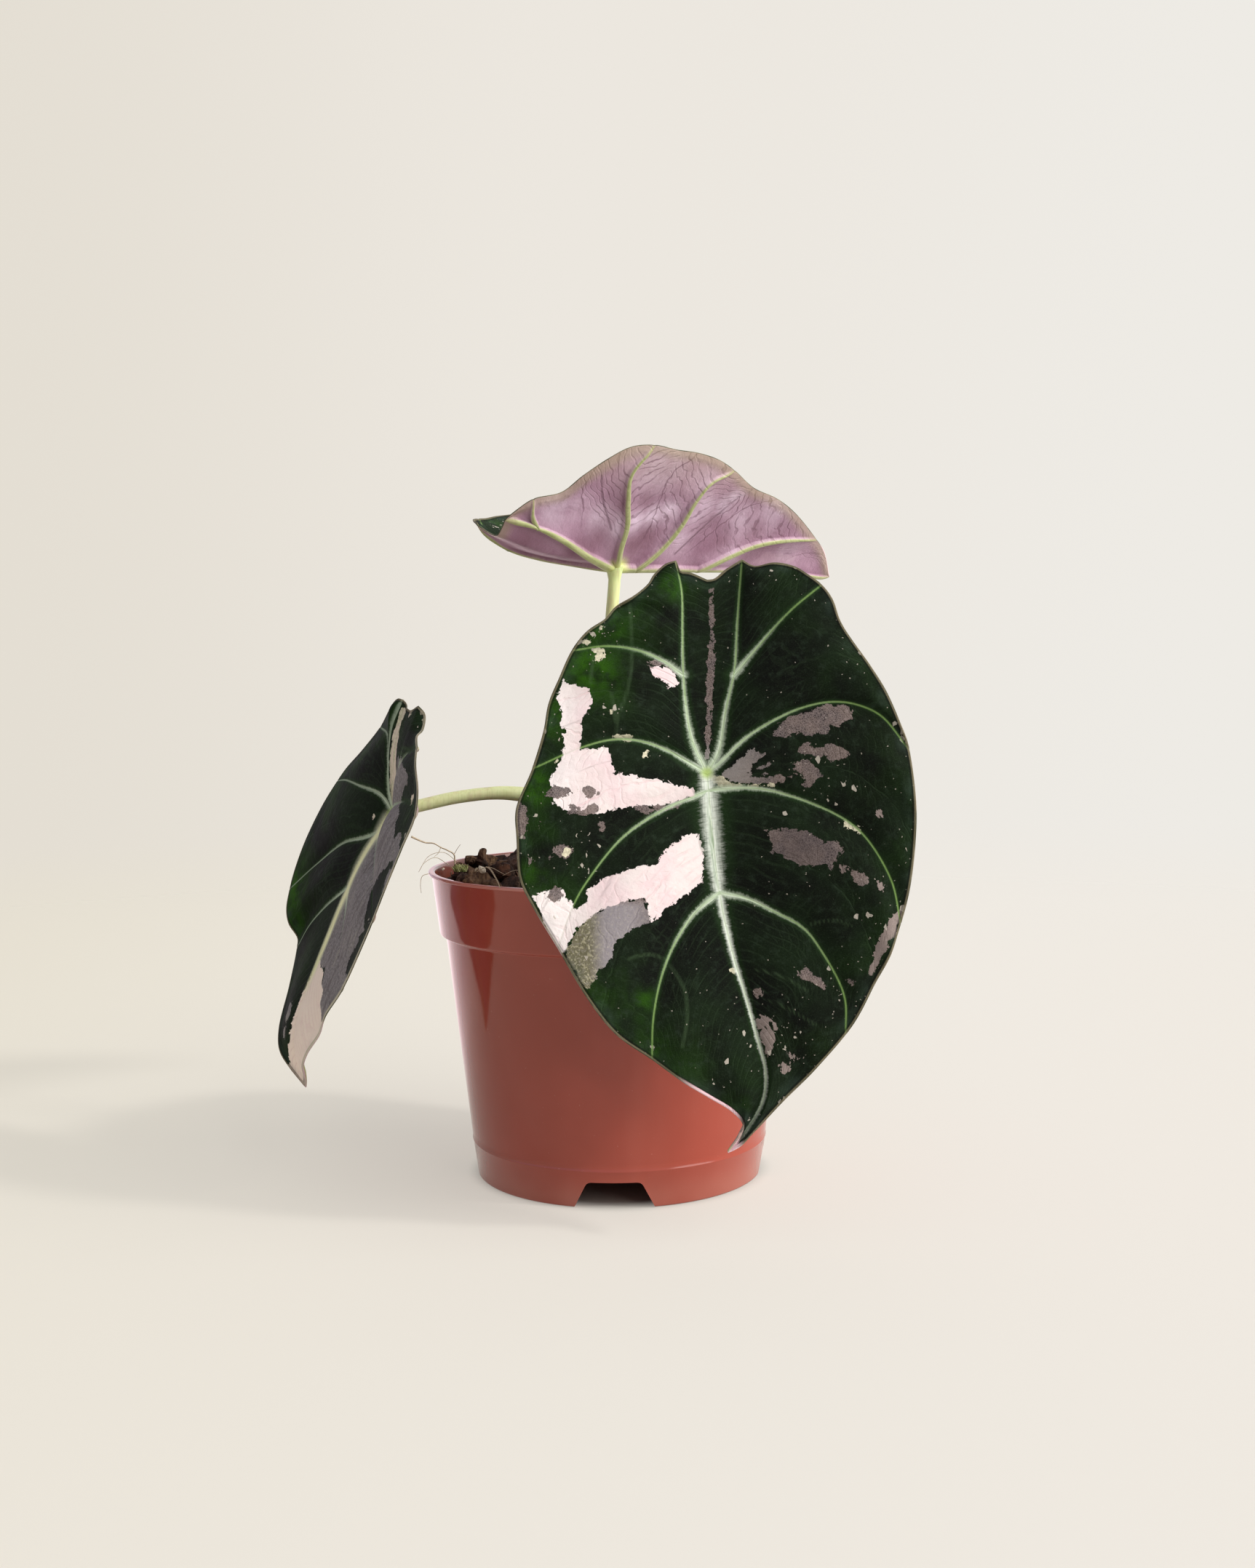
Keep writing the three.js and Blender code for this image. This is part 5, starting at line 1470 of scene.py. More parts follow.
def pot_profile():
    """The pot's section, from the middle of the floor out, up over the lip and back in."""
    step_z = COLLAR_FOOT_Z - 0.8
    inner_step_z = COLLAR_STEP_Z + COLLAR_STEP_RISE
    low, high = (BASE_RADIUS - 0.1, 0.0), (wall_radius(4), 4)
    inner_edge = wall_radius(FLOOR_UNDER_Z) - FOOT_WIDTH
    profile = [(0, FLOOR_UNDER_Z), (inner_edge - 0.6, FLOOR_UNDER_Z), (inner_edge, FLOOR_UNDER_Z - 0.6)]
    profile.append((BASE_RADIUS - FOOT_WIDTH, 0))
    profile += round_corner((BASE_RADIUS - FOOT_WIDTH, 0), low, high, 0.9)
    for rise, out in ((-0.35, 0), (-0.1, 1), (0.1, 1), (0.35, 0)):
        profile.append((wall_radius(PARTING_Z + rise) + out * PARTING_HEIGHT, PARTING_Z + rise))
    profile += [(wall_radius(z), z) for z in (14, 20, 30, 40, 50, 60, 70, step_z - 0.6)]
    foot, step = (COLLAR_FOOT_RADIUS, COLLAR_FOOT_Z - 0.2), (wall_radius(step_z), step_z)
    profile += round_corner((wall_radius(step_z - 0.6), step_z - 0.6), step, foot, 0.3, 2)
    profile += round_corner(step, foot, (collar_radius(82), 82), 0.55)
    profile += [(collar_radius(z), z) for z in (80, 84, 88, 92)]
    lip = (RIM_RADIUS, LIP_Z + 0.2)
    profile += round_corner((collar_radius(92), 92), (COLLAR_TOP_RADIUS, LIP_Z), lip, 0.2, 2)
    top_out, top_in = (RIM_RADIUS, POT_HEIGHT), (COLLAR_TOP_RADIUS - WALL + 0.2, POT_HEIGHT)
    profile += round_corner((COLLAR_TOP_RADIUS, LIP_Z), lip, top_out, 0.2, 3)
    profile += round_corner(lip, top_out, top_in, 0.5, 6)
    profile += round_corner(top_out, top_in, (pot_inner_radius(90), 90), 0.8, 5)
    profile += [(pot_inner_radius(z), z) for z in (94, 88, 83, inner_step_z)]
    profile += [(pot_inner_radius(z), z) for z in (COLLAR_STEP_Z, 60, 40, 20)]
    inner_foot = (pot_inner_radius(FLOOR_TOP_Z), FLOOR_TOP_Z)
    profile += round_corner((pot_inner_radius(20), 20), inner_foot, (0, FLOOR_TOP_Z), 1.5)
    return profile + [(0, FLOOR_TOP_Z)]


def revolved(profile, sides):
    """Points and faces of a profile turned about the pot's axis; its ends lie on the axis."""
    points = [(0, 0, profile[0][1])]
    for r, z in profile[1:-1]:
        points += [(*polar(r, turn), z) for turn in ring_turns(sides)]
    points.append((0, 0, profile[-1][1]))
    faces = []
    rings = len(profile) - 2
    for j in range(sides):
        k = (j + 1) % sides
        faces.append((0, 1 + k, 1 + j))
        for i in range(rings - 1):
            a, b = 1 + i * sides, 1 + (i + 1) * sides
            faces.append((a + j, a + k, b + k, b + j))
        last = 1 + (rings - 1) * sides
        faces.append((last + j, last + k, len(points) - 1))
    return np.array(points), faces


def notch_cutter(angle):
    """A closed block with the notch's outline, across the foot ring."""
    corner, inward = (NOTCH_TOP_HALF, NOTCH_HEIGHT), (NOTCH_TOP_HALF - NOTCH_CORNER, NOTCH_HEIGHT)
    side = round_corner((NOTCH_FOOT_HALF, 0), corner, inward, NOTCH_CORNER, 5)
    outline = [(NOTCH_FOOT_HALF + 0.5, -1), *side]
    outline += [(-x, z) for x, z in outline[::-1]]
    near, far = -BASE_RADIUS - NOTCH_CUT / 4, -BASE_RADIUS + 3 * NOTCH_CUT / 4
    points = [(x, y, z) for y in (near, far) for x, z in outline]
    n = len(outline)
    faces = [tuple(range(n)), tuple(range(2 * n - 1, n - 1, -1))]
    faces += [(j, n + j, n + (j + 1) % n, (j + 1) % n) for j in range(n)]
    turned = Matrix.Rotation(angle + math.pi / 2, 3, "Z")
    return make_object("cutter", [tuple(turned @ Vector(p)) for p in points], faces, [])


def drain_cutter(x, y):
    """A post through the floor of the pot."""
    sides = 24
    ring = [polar(DRAIN_RADIUS, turn) for turn in ring_turns(sides)]
    points = [(x + u, y + v, z) for z in DRAIN_SPAN for u, v in ring]
    faces = [tuple(range(sides))[::-1], tuple(range(sides, 2 * sides))]
    faces += [(j, (j + 1) % sides, sides + (j + 1) % sides, sides + j) for j in range(sides)]
    return make_object("cutter", points, faces, [])


def cut_away(piece, cutters):
    """Cuts every cutter out of a piece, and removes them."""
    group = bpy.data.collections.new("cutters")
    for cutter in cutters:
        bpy.context.scene.collection.objects.unlink(cutter)
        group.objects.link(cutter)
    bpy.context.scene.collection.children.link(group)
    cut = piece.modifiers.new("cut", "BOOLEAN")
    cut.operation = "DIFFERENCE"
    cut.operand_type = "COLLECTION"
    cut.collection = group
    cut.solver = "EXACT"
    graph = bpy.context.evaluated_depsgraph_get()
    finished = bpy.data.meshes.new_from_object(piece.evaluated_get(graph))
    piece.modifiers.clear()
    piece.data = finished
    for cutter in cutters:
        bpy.data.objects.remove(cutter)
    bpy.data.collections.remove(group)


def make_pot():
    points, faces = revolved(pot_profile(), POT_SIDES)
    pot = make_object("nursery_pot", points, faces, [pot_material()])
    cutters = [notch_cutter(math.radians(NOTCH_TURN + 360 * i / NOTCH_COUNT)) for i in range(NOTCH_COUNT)]
    cutters.append(drain_cutter(0, 0))
    cutters += [drain_cutter(*polar(DRAIN_RING, turn)) for turn in ring_turns(DRAIN_COUNT)]
    cut_away(pot, cutters)
    pot.data.set_sharp_from_angle(angle=math.radians(SHARP_ANGLE))
    show(pot, "pot_plastic", "pot")


def pot_material():
    """Glossy red-brown plastic, with faint streaks, dust low down, a painted highlight along the lip and
    painted shade on the inside wall.
    """
    s = Finish("pot_plastic", 0.11, 0.5)
    place = s.place()
    height = place.part(2)
    cloud = place.noise(22, 3)
    streaks = place.stretch(60, 60, 5).noise(1, 3)
    slope = (COLLAR_TOP_RADIUS - COLLAR_FOOT_RADIUS) / (LIP_Z - COLLAR_FOOT_Z)
    skin = s.round(*s.from_axis()) - height * slope
    inner_skin = (COLLAR_FOOT_RADIUS - slope * COLLAR_FOOT_Z - WALL / 2) / 1000
    body = s.coats(
        s.mix(cloud.fade(0.35, 0.7), (142, 56, 39), (154, 65, 49)),
        (streaks.fade(0.55, 0.75, 0, 0.18), (164, 84, 68)),
        (place.noise(900, 2, 0.7).fade(0.7, 0.78, 0, 0.3), (190, 120, 104)),
        (height.fade(0, 0.012, 0.25, 0) * cloud.fade(0.3, 0.6), (170, 130, 116)),
        # A pale band round the outer lip: a painted highlight.
        (height.fade(0.0967, 0.0974, 0, 0.5), (226, 160, 146)),
        # Dark red-brown on the inside wall above the mix: painted shade.
        ((skin < inner_skin) * (height > 0.082) * 0.85, (84, 36, 20)),
    )
    s.bump(place.noise(420) + streaks * 0.4, 0.00005, 0.35)
    return s.paint(body)


# Potting mix

def seeded(seed):
    """Repeatable numbers from 0 to 1."""
    state = seed
    while True:
        state = (state * 1664525 + 1013904223) % 4294967296
        yield state / 4294967296


def smooth(t):
    return t * t * (3 - 2 * t)


def spiral(i, count, reach, turn):
    """The place of one of many things that are spread evenly, as seeds are in a sunflower."""
    return polar(reach * math.sqrt((i + 0.5) / count), i * GOLDEN_TURN + turn)


def soil_top(x, y):
    """The height of the mix, a low mound with lumps."""
    r = np.minimum(np.hypot(x, y) / pot_inner_radius(SOIL_EDGE_Z), 1)
    mound = SOIL_EDGE_Z + (SOIL_MIDDLE_Z - SOIL_EDGE_Z) * (1 - smooth(r))
    lumps = np.sin(x * 0.31 + 1.3) * np.cos(y * 0.27 - 0.6) + 0.6 * np.sin(x * 0.13 - y * 0.35)
    return mound + 1.1 * lumps * np.minimum(1, 4 * (1 - r) + 0.3)


def make_soil_body(material):
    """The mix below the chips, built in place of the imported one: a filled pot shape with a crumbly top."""
    rings, sides = 46, 120
    edge = pot_inner_radius(SOIL_EDGE_Z) - SOIL_GAP
    over_step = COLLAR_STEP_Z + 1.5 * COLLAR_STEP_RISE
    heights = (FLOOR_TOP_Z + SOIL_GAP, 40, COLLAR_STEP_Z, over_step, SOIL_EDGE_Z - 1)
    profile = [(0, heights[0])] + [(pot_inner_radius(z) - SOIL_GAP, z) for z in heights]
    profile += [(edge * (1 - i / rings), SOIL_EDGE_Z) for i in range(rings)] + [(0, SOIL_EDGE_Z)]
    points, faces = revolved(profile, sides)
    top = points[:, 2] > SOIL_EDGE_Z - 0.5
    x, y = points[top, 0], points[top, 1]
    crumbs = 0.5 * np.sin(1.9 * x + 2 * np.sin(0.9 * y)) * np.cos(2.1 * y + 1.4 * np.sin(1.1 * x))
    inward = np.clip((edge - np.hypot(x, y)) / 3, 0, 1)
    points[top, 2] = lerp(SOIL_EDGE_Z, soil_top(x, y) - 0.5 + crumbs, inward)
    body = make_object("packed_mix", points, faces, [material])
    set_mark(body, "tone", np.full(len(points), 0.2))
    show(body, "potting_mix", "soil")


def round_grid(steps):
    """Directions and faces of a ball made from a cube's faces."""
    points, faces, found = [], [], {}

    def place(p):
        key = tuple(np.round(p, 5))
        if key not in found:
            found[key] = len(points)
            points.append(p / np.linalg.norm(p))
        return found[key]

    line = np.linspace(-1, 1, steps + 1)
    for axis in range(3):
        for sign in (-1, 1):
            for i in range(steps):
                for j in range(steps):
                    corners = ((i, j), (i + 1, j), (i + 1, j + 1), (i, j + 1))
                    quad = [place(np.roll(np.array([sign, line[a], line[b]]), axis)) for a, b in corners]
                    faces.append(quad if sign > 0 else quad[::-1])
    return np.array(points), np.array(faces)


def chip_shape(ball, random, size):
    """A hewn bark chip: a ball cut by flat faces, with a crumbly skin."""
    cuts = np.array([[next(random) - 0.5 for _ in range(3)] for _ in range(11)])
    cuts /= np.linalg.norm(cuts, axis=1)[:, None]
    depths = np.array([0.62 + 0.3 * next(random) for _ in cuts])
    facing = ball @ cuts.T
    reach = np.where(facing > 0.05, depths / np.maximum(facing, 0.05), 9).min(1)
    crumbs = np.sin(7.3 * ball[:, 0] + 40 * depths[0]) * np.sin(8.1 * ball[:, 1] + 30 * depths[1])
    crumbs += 0.7 * np.sin(12.7 * ball[:, 2] + 9 * ball[:, 0])
    return ball * (np.minimum(reach, 1.12) + 0.045 * crumbs)[:, None] * size


def turned(points, tilt_x, tilt_y, spin):
    tilts = Matrix.Rotation(tilt_y, 3, "Y") @ Matrix.Rotation(tilt_x, 3, "X")
    return points @ np.array(Matrix.Rotation(spin, 3, "Z") @ tilts).T


class Heap:
    """Many small solids in one mesh."""

    def __init__(self):
        self.points, self.faces, self.tones, self.count = [], [], [], 0

    def put(self, points, faces, tone):
        self.points.append(points)
        self.faces += [[int(i) + self.count for i in face] for face in faces]
        self.tones.append(np.full(len(points), tone))
        self.count += len(points)

    def finish(self, name, material, slot, smooth=False):
        points = np.concatenate(self.points)
        piece = make_object(name, points, self.faces, [material], smooth=smooth)
        set_mark(piece, "tone", np.concatenate(self.tones))
        show(piece, slot)


def make_chips(material):
    """Bark chips: heaped and laid by the left rim, spread all over, and crumbs between them."""
    random, shapes = seeded(41), seeded(77)
    ball, faces = round_grid(6)
    heap = Heap()

    def chip(x, y, size, lift):
        flat = (1, 0.45 + 0.35 * next(random), 0.3 + 0.25 * next(random))
        tilt_x, tilt_y = (next(random) - 0.5) * 1.6, (next(random) - 0.5) * 1.4
        points = chip_shape(ball, shapes, size) * flat
        points = turned(points, tilt_x, tilt_y, next(random) * 2 * math.pi)
        heap.put(points + (x, y, soil_top(x, y) + lift), faces, next(shapes))

    for place in HEAP:
        chip(*place)
    for x, y, z, size, shape, turns, tone in LAID:
        heap.put(turned(chip_shape(ball, shapes, size) * shape, *turns) + (x, y, z), faces, tone)
    for i in range(CHIP_COUNT):
        size = 2.8 + 3.2 * next(random)
        x, y = spiral(i, CHIP_COUNT, CHIP_REACH - size, next(random) * 0.5)
        chip(x, y, size, size * 0.16)
    put_crumbs(heap, shapes)
    heap.finish("bark_chips", material, "potting_mix")


def put_crumbs(heap, shapes):
    """Crumbs all over the mix, but not in the crown."""
    ball, faces = round_grid(3)
    for i in range(CRUMB_COUNT):
        size = 0.8 + 1.7 * next(shapes) ** 2
        x, y = spiral(i, CRUMB_COUNT, CRUMB_REACH - size, next(shapes))
        if math.hypot(x, y) < CROWN_RADIUS + 2:
            continue
        points = chip_shape(ball, shapes, size) * (1, 0.7, 0.55)
        points = turned(points, next(shapes) * 2, next(shapes) * 2, next(shapes) * 6)
        heap.put(points + (x, y, soil_top(x, y) + 0.3 * size), faces, next(shapes))


def tube(route, radii, sides=8, steps_per_point=6):
    """A closed tube along a smooth route: points and faces."""
    curve = Curve(route)
    steps = steps_per_point * (len(route) - 1)
    shares = np.linspace(0, 1, steps + 1)
    centres = curve.by_length(shares)
    ahead = np.gradient(centres, axis=0)
    ahead /= np.linalg.norm(ahead, axis=1)[:, None]
    side = np.cross(ahead[0], (0.31, 0.2, 0.93))
    side /= np.linalg.norm(side)
    radius = np.interp(shares, np.linspace(0, 1, len(radii)), radii)
    turns = ring_turns(sides)
    points = []
    for centre, forward, r in zip(centres, ahead, radius):
        side = side - forward * side.dot(forward)
        side /= np.linalg.norm(side)
        up = np.cross(forward, side)
        points.append(centre + r * (np.outer(np.cos(turns), side) + np.outer(np.sin(turns), up)))
    faces = []
    for i in range(steps):
        a, b = i * sides, (i + 1) * sides
        faces += [(a + j, a + (j + 1) % sides, b + (j + 1) % sides, b + j) for j in range(sides)]
    faces += [tuple(range(sides))[::-1], tuple(range(steps * sides, (steps + 1) * sides))]
    return np.concatenate(points), faces


def make_fibres(material):
    """Coir threads and fine roots that lie over the chips."""
    random = seeded(913)
    heap = Heap()
    for i in range(FIBRE_COUNT):
        x, y = spiral(i, FIBRE_COUNT, FIBRE_REACH, next(random))
        heading = next(random) * 2 * math.pi
        length = 6 + 14 * next(random)
        route = []
        for k in range(5):
            heading += (next(random) - 0.5) * 1.1
            x += math.cos(heading) * length / 4
            y += math.sin(heading) * length / 4
            shrink = min(1, FIBRE_LIMIT / max(math.hypot(x, y), 1))
            x, y = x * shrink, y * shrink
            hump = math.sin(math.pi * k / 4) * (1 + 3.5 * next(random) ** 2)
            route.append((x, y, float(soil_top(x, y)) + 0.3 + hump))
        thick = 0.12 + 0.2 * next(random) ** 2
        heap.put(*tube(route, [thick, thick, thick * 0.5], 5, 4), next(random))
    heap.finish("coir_fibres", material, "potting_mix", smooth=True)


def make_roots(material):
    heap = Heap()
    heap.put(*tube(DRY_ROOT, [0.36, 0.28, 0.25, 0.22, 0.18, 0.24, 0.34], 8, 8), 1.0)
    for route in HAIR_ROOTS:
        heap.put(*tube(route, [0.11, 0.09, 0.06], 5, 8), 0.9)
    heap.put(*tube(STRAW, [0.18, 0.24, 0.22, 0.16], 7, 6), 0.78)
    heap.finish("dry_roots", material, "potting_mix", smooth=True)


def make_moss(material):
    """Tufts of moss by the left rim and a few more round the pot."""
    random = seeded(5)
    heap = Heap()
    for cx, cy, spread, count in TUFTS:
        for _ in range(count):
            turn, out = next(random) * 2 * math.pi, spread * math.sqrt(next(random))
            x, y = np.add((cx, cy), polar(out, turn))
            z = MOSS_RIM_Z if cx < -40 else max(float(soil_top(x, y)) + 1.5, MOSS_LEAST_Z)
            lean_x, lean_y = next(random) - 0.5, next(random) - 0.5
            rise = 1.2 + 1.3 * next(random)
            half_up = (x + lean_x, y + lean_y, z + rise / 2)
            route = [(x, y, z), half_up, (x + 2.4 * lean_x, y + 2.4 * lean_y, z + rise)]
            heap.put(*tube(route, [0.22, 0.2, 0.05], 4, 3), next(random))
    heap.finish("moss_tufts", material, "potting_mix", smooth=True)


def make_light_bits(material):
    """Pumice and husk bits, one of them at the left rim."""
    shapes = seeded(301)
    ball, faces = round_grid(4)
    heap = Heap()
    places = [*LIGHT_BITS]
    for _ in range(LIGHT_BIT_COUNT):
        x, y = polar(16 + 36 * next(shapes), next(shapes) * 2 * math.pi)
        places.append((x, y, soil_top(x, y) + 1.2, 0.7 + 0.9 * next(shapes)))
    for x, y, z, size in places:
        points = chip_shape(ball, shapes, size) * (1.2, 0.9, 0.75)
        points = turned(points, next(shapes), next(shapes), next(shapes) * 6)
        heap.put(points + (x, y, z), faces, next(shapes))
    heap.finish("light_bits", material, "potting_mix")


def bark_material():
    s = Finish("bark_mix", 0.85, 0.2)
    place = s.place()
    grain = place.stretch(900, 260, 260).noise(1, 4, 0.65)
    dark = s.mix(grain.fade(0.35, 0.7), (30, 20, 17), (66, 46, 36))
    light = s.mix(grain.fade(0.35, 0.7), (76, 54, 40), (136, 108, 80))
    s.bump(grain + place.noise(500, 4, 0.7) * 0.8, 0.0006, 0.9)
    return s.paint(s.coats(
        s.mix(s.mark("tone").fade(0.45, 0.95), dark, light),
        (place.noise(160, 3).fade(0.55, 0.72, 0, 0.6), (104, 66, 44)),
        (place.noise(700, 3, 0.7).fade(0.6, 0.75, 0, 0.5), (128, 108, 88)),
    ))


def fibre_material():
    s = Finish("dry_fibre", 0.7, 0.25)
    tone = s.mark("tone")
    return s.paint(s.coats(
        s.mix(tone.fade(0, 0.6), (66, 44, 30), (146, 124, 100)),
        (tone.fade(0.6, 1), (212, 196, 168)),
        (s.place().noise(1500).fade(0.4, 0.7, 0, 0.35), (70, 52, 38)),
    ))


def moss_material():
    s = Finish("moss", 0.8, 0.2)
    body = s.mix(s.mark("tone").fade(0.1, 0.9), (112, 124, 66), (196, 198, 140))
    return s.paint(s.mix(s.place().noise(1200).fade(0.45, 0.7, 0, 0.4), body, (70, 78, 36)))


def pumice_material():
    s = Finish("pumice", 0.9, 0.2)
    pits = s.place().noise(1400, 4, 0.7)
    s.bump(pits, 0.0003, 0.8)
    body = s.mix(s.mark("tone").fade(0.2, 0.9), (196, 184, 158), (226, 218, 198))
    return s.paint(s.mix(pits.fade(0.55, 0.35, 0, 0.5), body, (150, 132, 104)))


# Stalks and crown

def make_stalk(name, node, top_radius, leaf, tone, route, material):
    """A leaf stalk that widens a little where it meets the ribs under its blade."""
    shares = np.linspace(0, 1, STALK_WIDTHS)
    widths = lerp(STALK_FOOT_RADIUS, top_radius, np.minimum(1, STALK_TAPER * shares))
    flare = smooth(np.clip((shares - STALK_FLARE_START) / (1 - STALK_FLARE_START), 0, 1))
    points, faces = tube([*route, leaf["at"]], widths * (1 + STALK_FLARE * flare), STALK_SIDES, 20)
    face_to = np.array(leaf["face_to"]) / np.linalg.norm(leaf["face_to"])
    over = np.maximum((points - np.array(leaf["at"])) @ face_to + STALK_END, 0)
    stalk = make_object(name, points - np.outer(over, face_to), faces, [material])
    set_mark(stalk, "tone", np.full(len(points), tone))
    rings = len(points) // STALK_SIDES
    set_mark(stalk, "along", np.repeat(np.linspace(0, 1, rings), STALK_SIDES))
    show(stalk, "leaf_stalk", node)


def papery_scale(turn, half_wide, foot_z, height, spread):
    """A dry leaf base: a pointed sheet that clasps the crown."""
    rows, columns = 16, 14
    points = []
    for layer in (0, SCALE_THICKNESS):
        for i in range(rows + 1):
            rise = i / rows
            half = half_wide * (1 - rise**2.2) ** 0.8 + 0.03
            radius = CROWN_RADIUS * lerp(1, 0.8, rise) + 0.5 + layer + spread * rise**2
            for j in range(columns + 1):
                across = 2 * j / columns - 1
                angle = turn + half * across
                ripple = 0.25 * math.sin(9 * across + 4 * rise) * rise
                r = radius + ripple + 0.8 * across**2 * rise
                z = foot_z + height * rise - 1.5 * across**2
                points.append((*polar(r, angle), z))
    width, size = columns + 1, (rows + 1) * (columns + 1)
    faces = []
    for i in range(rows):
        for j in range(columns):
            a, b = i * width + j, (i + 1) * width + j
            faces += [(a, b, b + 1, a + 1), (size + a, size + a + 1, size + b + 1, size + b)]
        a, b = i * width, (i + 1) * width
        faces.append((a, size + a, size + b, b))
        faces.append((a + columns, b + columns, size + b + columns, size + a + columns))
    for j in range(columns):
        top = rows * width + j
        faces += [(j, j + 1, size + j + 1, size + j), (top, size + top, size + top + 1, top + 1)]
    return np.array(points), faces


def make_crown(material, dry_material):
    """The short stem, and the dry leaf bases that wrap it."""
    scaled = ((0.62, 0), (0.9, 0.12), (1, 0.4), (0.96, 0.62), (0.78, 0.85), (0.55, 1))
    height = CROWN_TOP_Z - CROWN_FOOT_Z
    line = Curve([(CROWN_RADIUS * r, CROWN_FOOT_Z + height * z) for r, z in scaled])
    side = line.by_length(np.linspace(0, 1, 40))[:, :2]
    profile = [(0, CROWN_FOOT_Z), *map(tuple, side), (0, CROWN_TOP_Z + 1)]
    points, faces = revolved(profile, 64)
    turn = np.arctan2(points[:, 1], points[:, 0])
    out = 1 + 0.035 * np.sin(5 * turn + 0.4 * points[:, 2]) + 0.02 * np.sin(11 * turn)
    points[:, :2] *= out[:, None]
    crown = make_object("short_stem", points, faces, [material])
    show(crown, "crown_stem", "crown")
    heap = Heap()
    for i, (half_wide, rise, spread) in enumerate(SCALES):
        heap.put(*papery_scale(i * GOLDEN_TURN + 0.7, half_wide, 95 + i, rise, spread), i / len(SCALES))
    heap.finish("dry_leaf_bases", dry_material, "crown_stem", smooth=True)


def stalk_material():
    """Pale green, with fine lengthwise streaks and a mauve flush low down."""
    s = Finish("leaf_stalk", 0.4, 0.4)
    s.set("Subsurface Weight", 0.15)
    s.set("Subsurface Scale", 0.004)
    place = s.place()
    fine = place.stretch(1500, 1500, 90).noise(1, 3)
    s.bump(fine, 0.00012, 0.5)
    return s.paint(s.coats(
        s.mix(s.mark("tone"), (206, 212, 164), (214, 229, 158)),
        (fine.fade(0.4, 0.7, 0, 0.35), (170, 180, 112)),
        (place.stretch(260, 260, 70).noise(1, 3).fade(0.5, 0.75) * 0.35, (176, 142, 126)),
        (s.mark("along").fade(0.35, 0.05) * 0.5, (190, 160, 140)),
    ))


def crown_material():
    s = Finish("crown_stem", 0.7, 0.25)
    place = s.place()
    rings = place.stretch(40, 40, 700).noise(1, 3).fade(0.4, 0.6)
    s.bump(rings, 0.0004, 0.7)
    body = s.mix(rings, (96, 74, 46), (150, 140, 88))
    return s.paint(s.mix(place.noise(300, 3).fade(0.5, 0.7), body, (74, 54, 38)))


def dry_base_material():
    s = Finish("dry_leaf_base", 0.6, 0.3)
    place = s.place()
    veins = place.stretch(900, 900, 60).noise(1, 4, 0.6)
    s.bump(veins, 0.0003, 0.6)
    body = s.mix(veins.fade(0.35, 0.7), (142, 104, 66), (204, 174, 126))
    return s.paint(s.mix(place.noise(120, 3).fade(0.55, 0.75), body, (96, 62, 42)))


# Room, floor, lights and camera

def make_world():
    """A pale room: what the camera sees behind the plant, and softer light from each side."""
    world = bpy.data.worlds.new("pale_room")
    bpy.context.scene.world = world
    world.use_nodes = True
    s = Shade(world.node_tree)
    ahead = s.node("ShaderNodeTexCoord", "Generated", {})
    x, y, z = (ahead.part(axis) for axis in range(3))
    # The wall darker to the left: painted shade.
    seen = s.coats(WALL_LEFT, (x.fade(-0.34, 0), WALL_MIDDLE), (x.fade(0, 0.34), WALL_RIGHT))
    light = x.fade(-0.7, 0.9, LIGHT_LEAST, LIGHT_LEAST + LIGHT_RIGHT)
    light = light + y.fade(-0.3, 0.9, 0, LIGHT_BEHIND) + z.fade(0, 0.9, 0, LIGHT_ABOVE)
    glossy = s.ray("Is Glossy Ray")
    light = s.most(light, glossy * x.fade(-0.6, 0, REFLECTED + REFLECTED_LEFT, REFLECTED))
    warm = s.mix(z.fade(-0.2, 0.6), (255, 248, 240), (250, 251, 255))
    cool = s.mix(x.fade(-0.5, 0.3), (252, 236, 255), (255, 250, 250))
    lit = s.node("ShaderNodeBackground", 0, {"Color": s.mix(glossy, warm, cool), "Strength": light})
    shown = s.node("ShaderNodeBackground", 0, {"Color": seen})
    choice = s.node("ShaderNodeMixShader", 0, {0: s.ray("Is Camera Ray"), 1: lit, 2: shown})
    s.feed(s.tree.nodes["World Output"].inputs["Surface"], choice)


def floor_material():
    """Pale paper that fades out into the room, darker and warmer to the left as painted shade, and that
    gloss sees brighter behind the left side.
    """
    s = Finish("pale_floor", 1, 0)
    x, y = s.from_axis()
    far = s.round(x, y)
    # Darker and warmer towards the left: painted shade from the light on the right.
    body = s.mix(x.fade(-0.5, 0.2), FLOOR_LEFT, FLOOR_RIGHT)
    glossy_left = s.ray("Is Glossy Ray") * x.fade(0, -0.12) * y.fade(-0.05, 0.55)
    # No glow under and just round the pot's foot: a painted contact shadow.
    glow = far.fade(CONTACT_SHADOW[0] / 1000, CONTACT_SHADOW[1] / 1000, 0, FLOOR_GLOW)
    s.set("Alpha", far.fade(FLOOR_RADIUS / 1000, FLOOR_SOLID / 1000))
    s.set("Emission Color", s.mix(glossy_left.fade(0, 0.3), body, (250, 222, 230)))
    s.set("Emission Strength", glow + glossy_left * FLOOR_REFLECTED)
    return s.paint(body.stretch(*[1 - FLOOR_GLOW] * 3))


def make_floor():
    sides = 96
    ring = [(*polar(FLOOR_RADIUS, turn), -FLOOR_DROP) for turn in ring_turns(sides)]
    make_object("floor", ring, [range(sides)], [floor_material()])


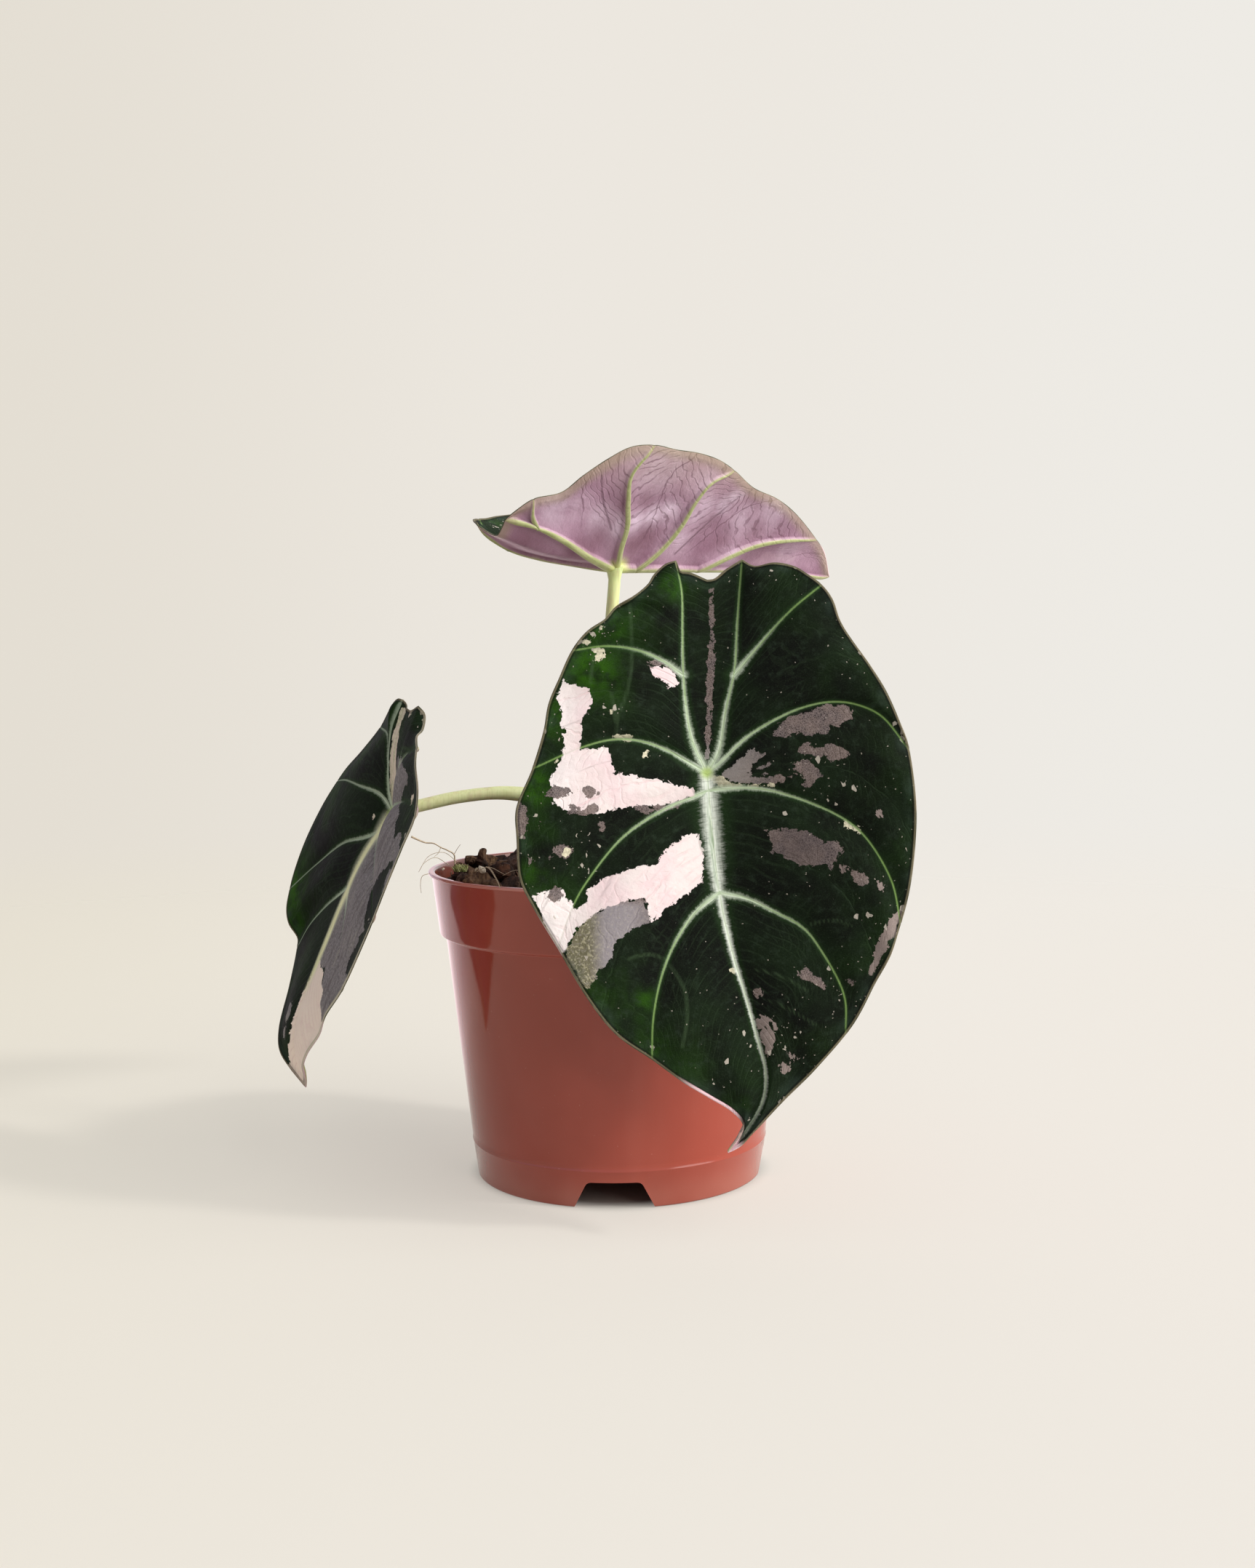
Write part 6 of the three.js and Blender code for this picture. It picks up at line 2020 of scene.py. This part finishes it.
def make_suns():
    """Window light, far enough off to light the floor evenly: a crisp part and a wide one."""
    for towards, strength, width in SUNS:
        light = bpy.data.lights.new("window", "SUN")
        light.energy = strength
        light.angle = math.radians(width)
        light.color = SUN_COLOUR
        lamp = bpy.data.objects.new("window", light)
        lamp.rotation_euler = Vector(towards).to_track_quat("Z", "Y").to_euler()
        bpy.context.scene.collection.objects.link(lamp)


def make_camera():
    camera = bpy.data.cameras.new("camera")
    camera.lens = CAMERA_LENS
    camera.sensor_width = CAMERA_SENSOR
    camera.clip_start = 0.01
    camera.clip_end = 20
    eye = bpy.data.objects.new("camera", camera)
    forward, up = Vector(CAMERA_FORWARD), Vector(CAMERA_UP)
    turn = Matrix((forward.cross(up), up, -forward)).transposed()
    eye.matrix_world = Matrix.Translation(Vector(CAMERA_PLACE) / 1000 + Vector(POT_AXIS)) @ turn.to_4x4()
    bpy.context.scene.collection.objects.link(eye)
    bpy.context.scene.camera = eye


# Build

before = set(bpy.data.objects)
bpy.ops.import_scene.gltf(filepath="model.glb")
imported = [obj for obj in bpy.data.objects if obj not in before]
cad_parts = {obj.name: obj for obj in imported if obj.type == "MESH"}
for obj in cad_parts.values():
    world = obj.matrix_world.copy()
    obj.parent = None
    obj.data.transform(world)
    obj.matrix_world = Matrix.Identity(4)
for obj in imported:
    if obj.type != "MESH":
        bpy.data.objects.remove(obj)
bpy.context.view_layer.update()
low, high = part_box("pot")
POT_AXIS = ((low[0] + high[0]) / 2, (low[1] + high[1]) / 2, 0)

make_world()
make_floor()
make_suns()
make_camera()
blade = [velvet_material(), underside_material(), rim_material()]
make_leaf("blade_front", "leaf_front", FRONT_LEAF, FRONT_LOOK, blade)
make_leaf("blade_left", "leaf_left", LEFT_LEAF, LEFT_LOOK, blade)
make_leaf("blade_back", "leaf_back", BACK_LEAF, BACK_LOOK, blade)
green = stalk_material()
for stalk in STALKS:
    make_stalk(*stalk, green)
make_crown(crown_material(), dry_base_material())
make_pot()
bark, fibre = bark_material(), fibre_material()
make_soil_body(bark)
make_chips(bark)
make_fibres(fibre)
make_roots(fibre)
make_moss(moss_material())
make_light_bits(pumice_material())

bpy.context.scene.view_settings.view_transform = "Standard"
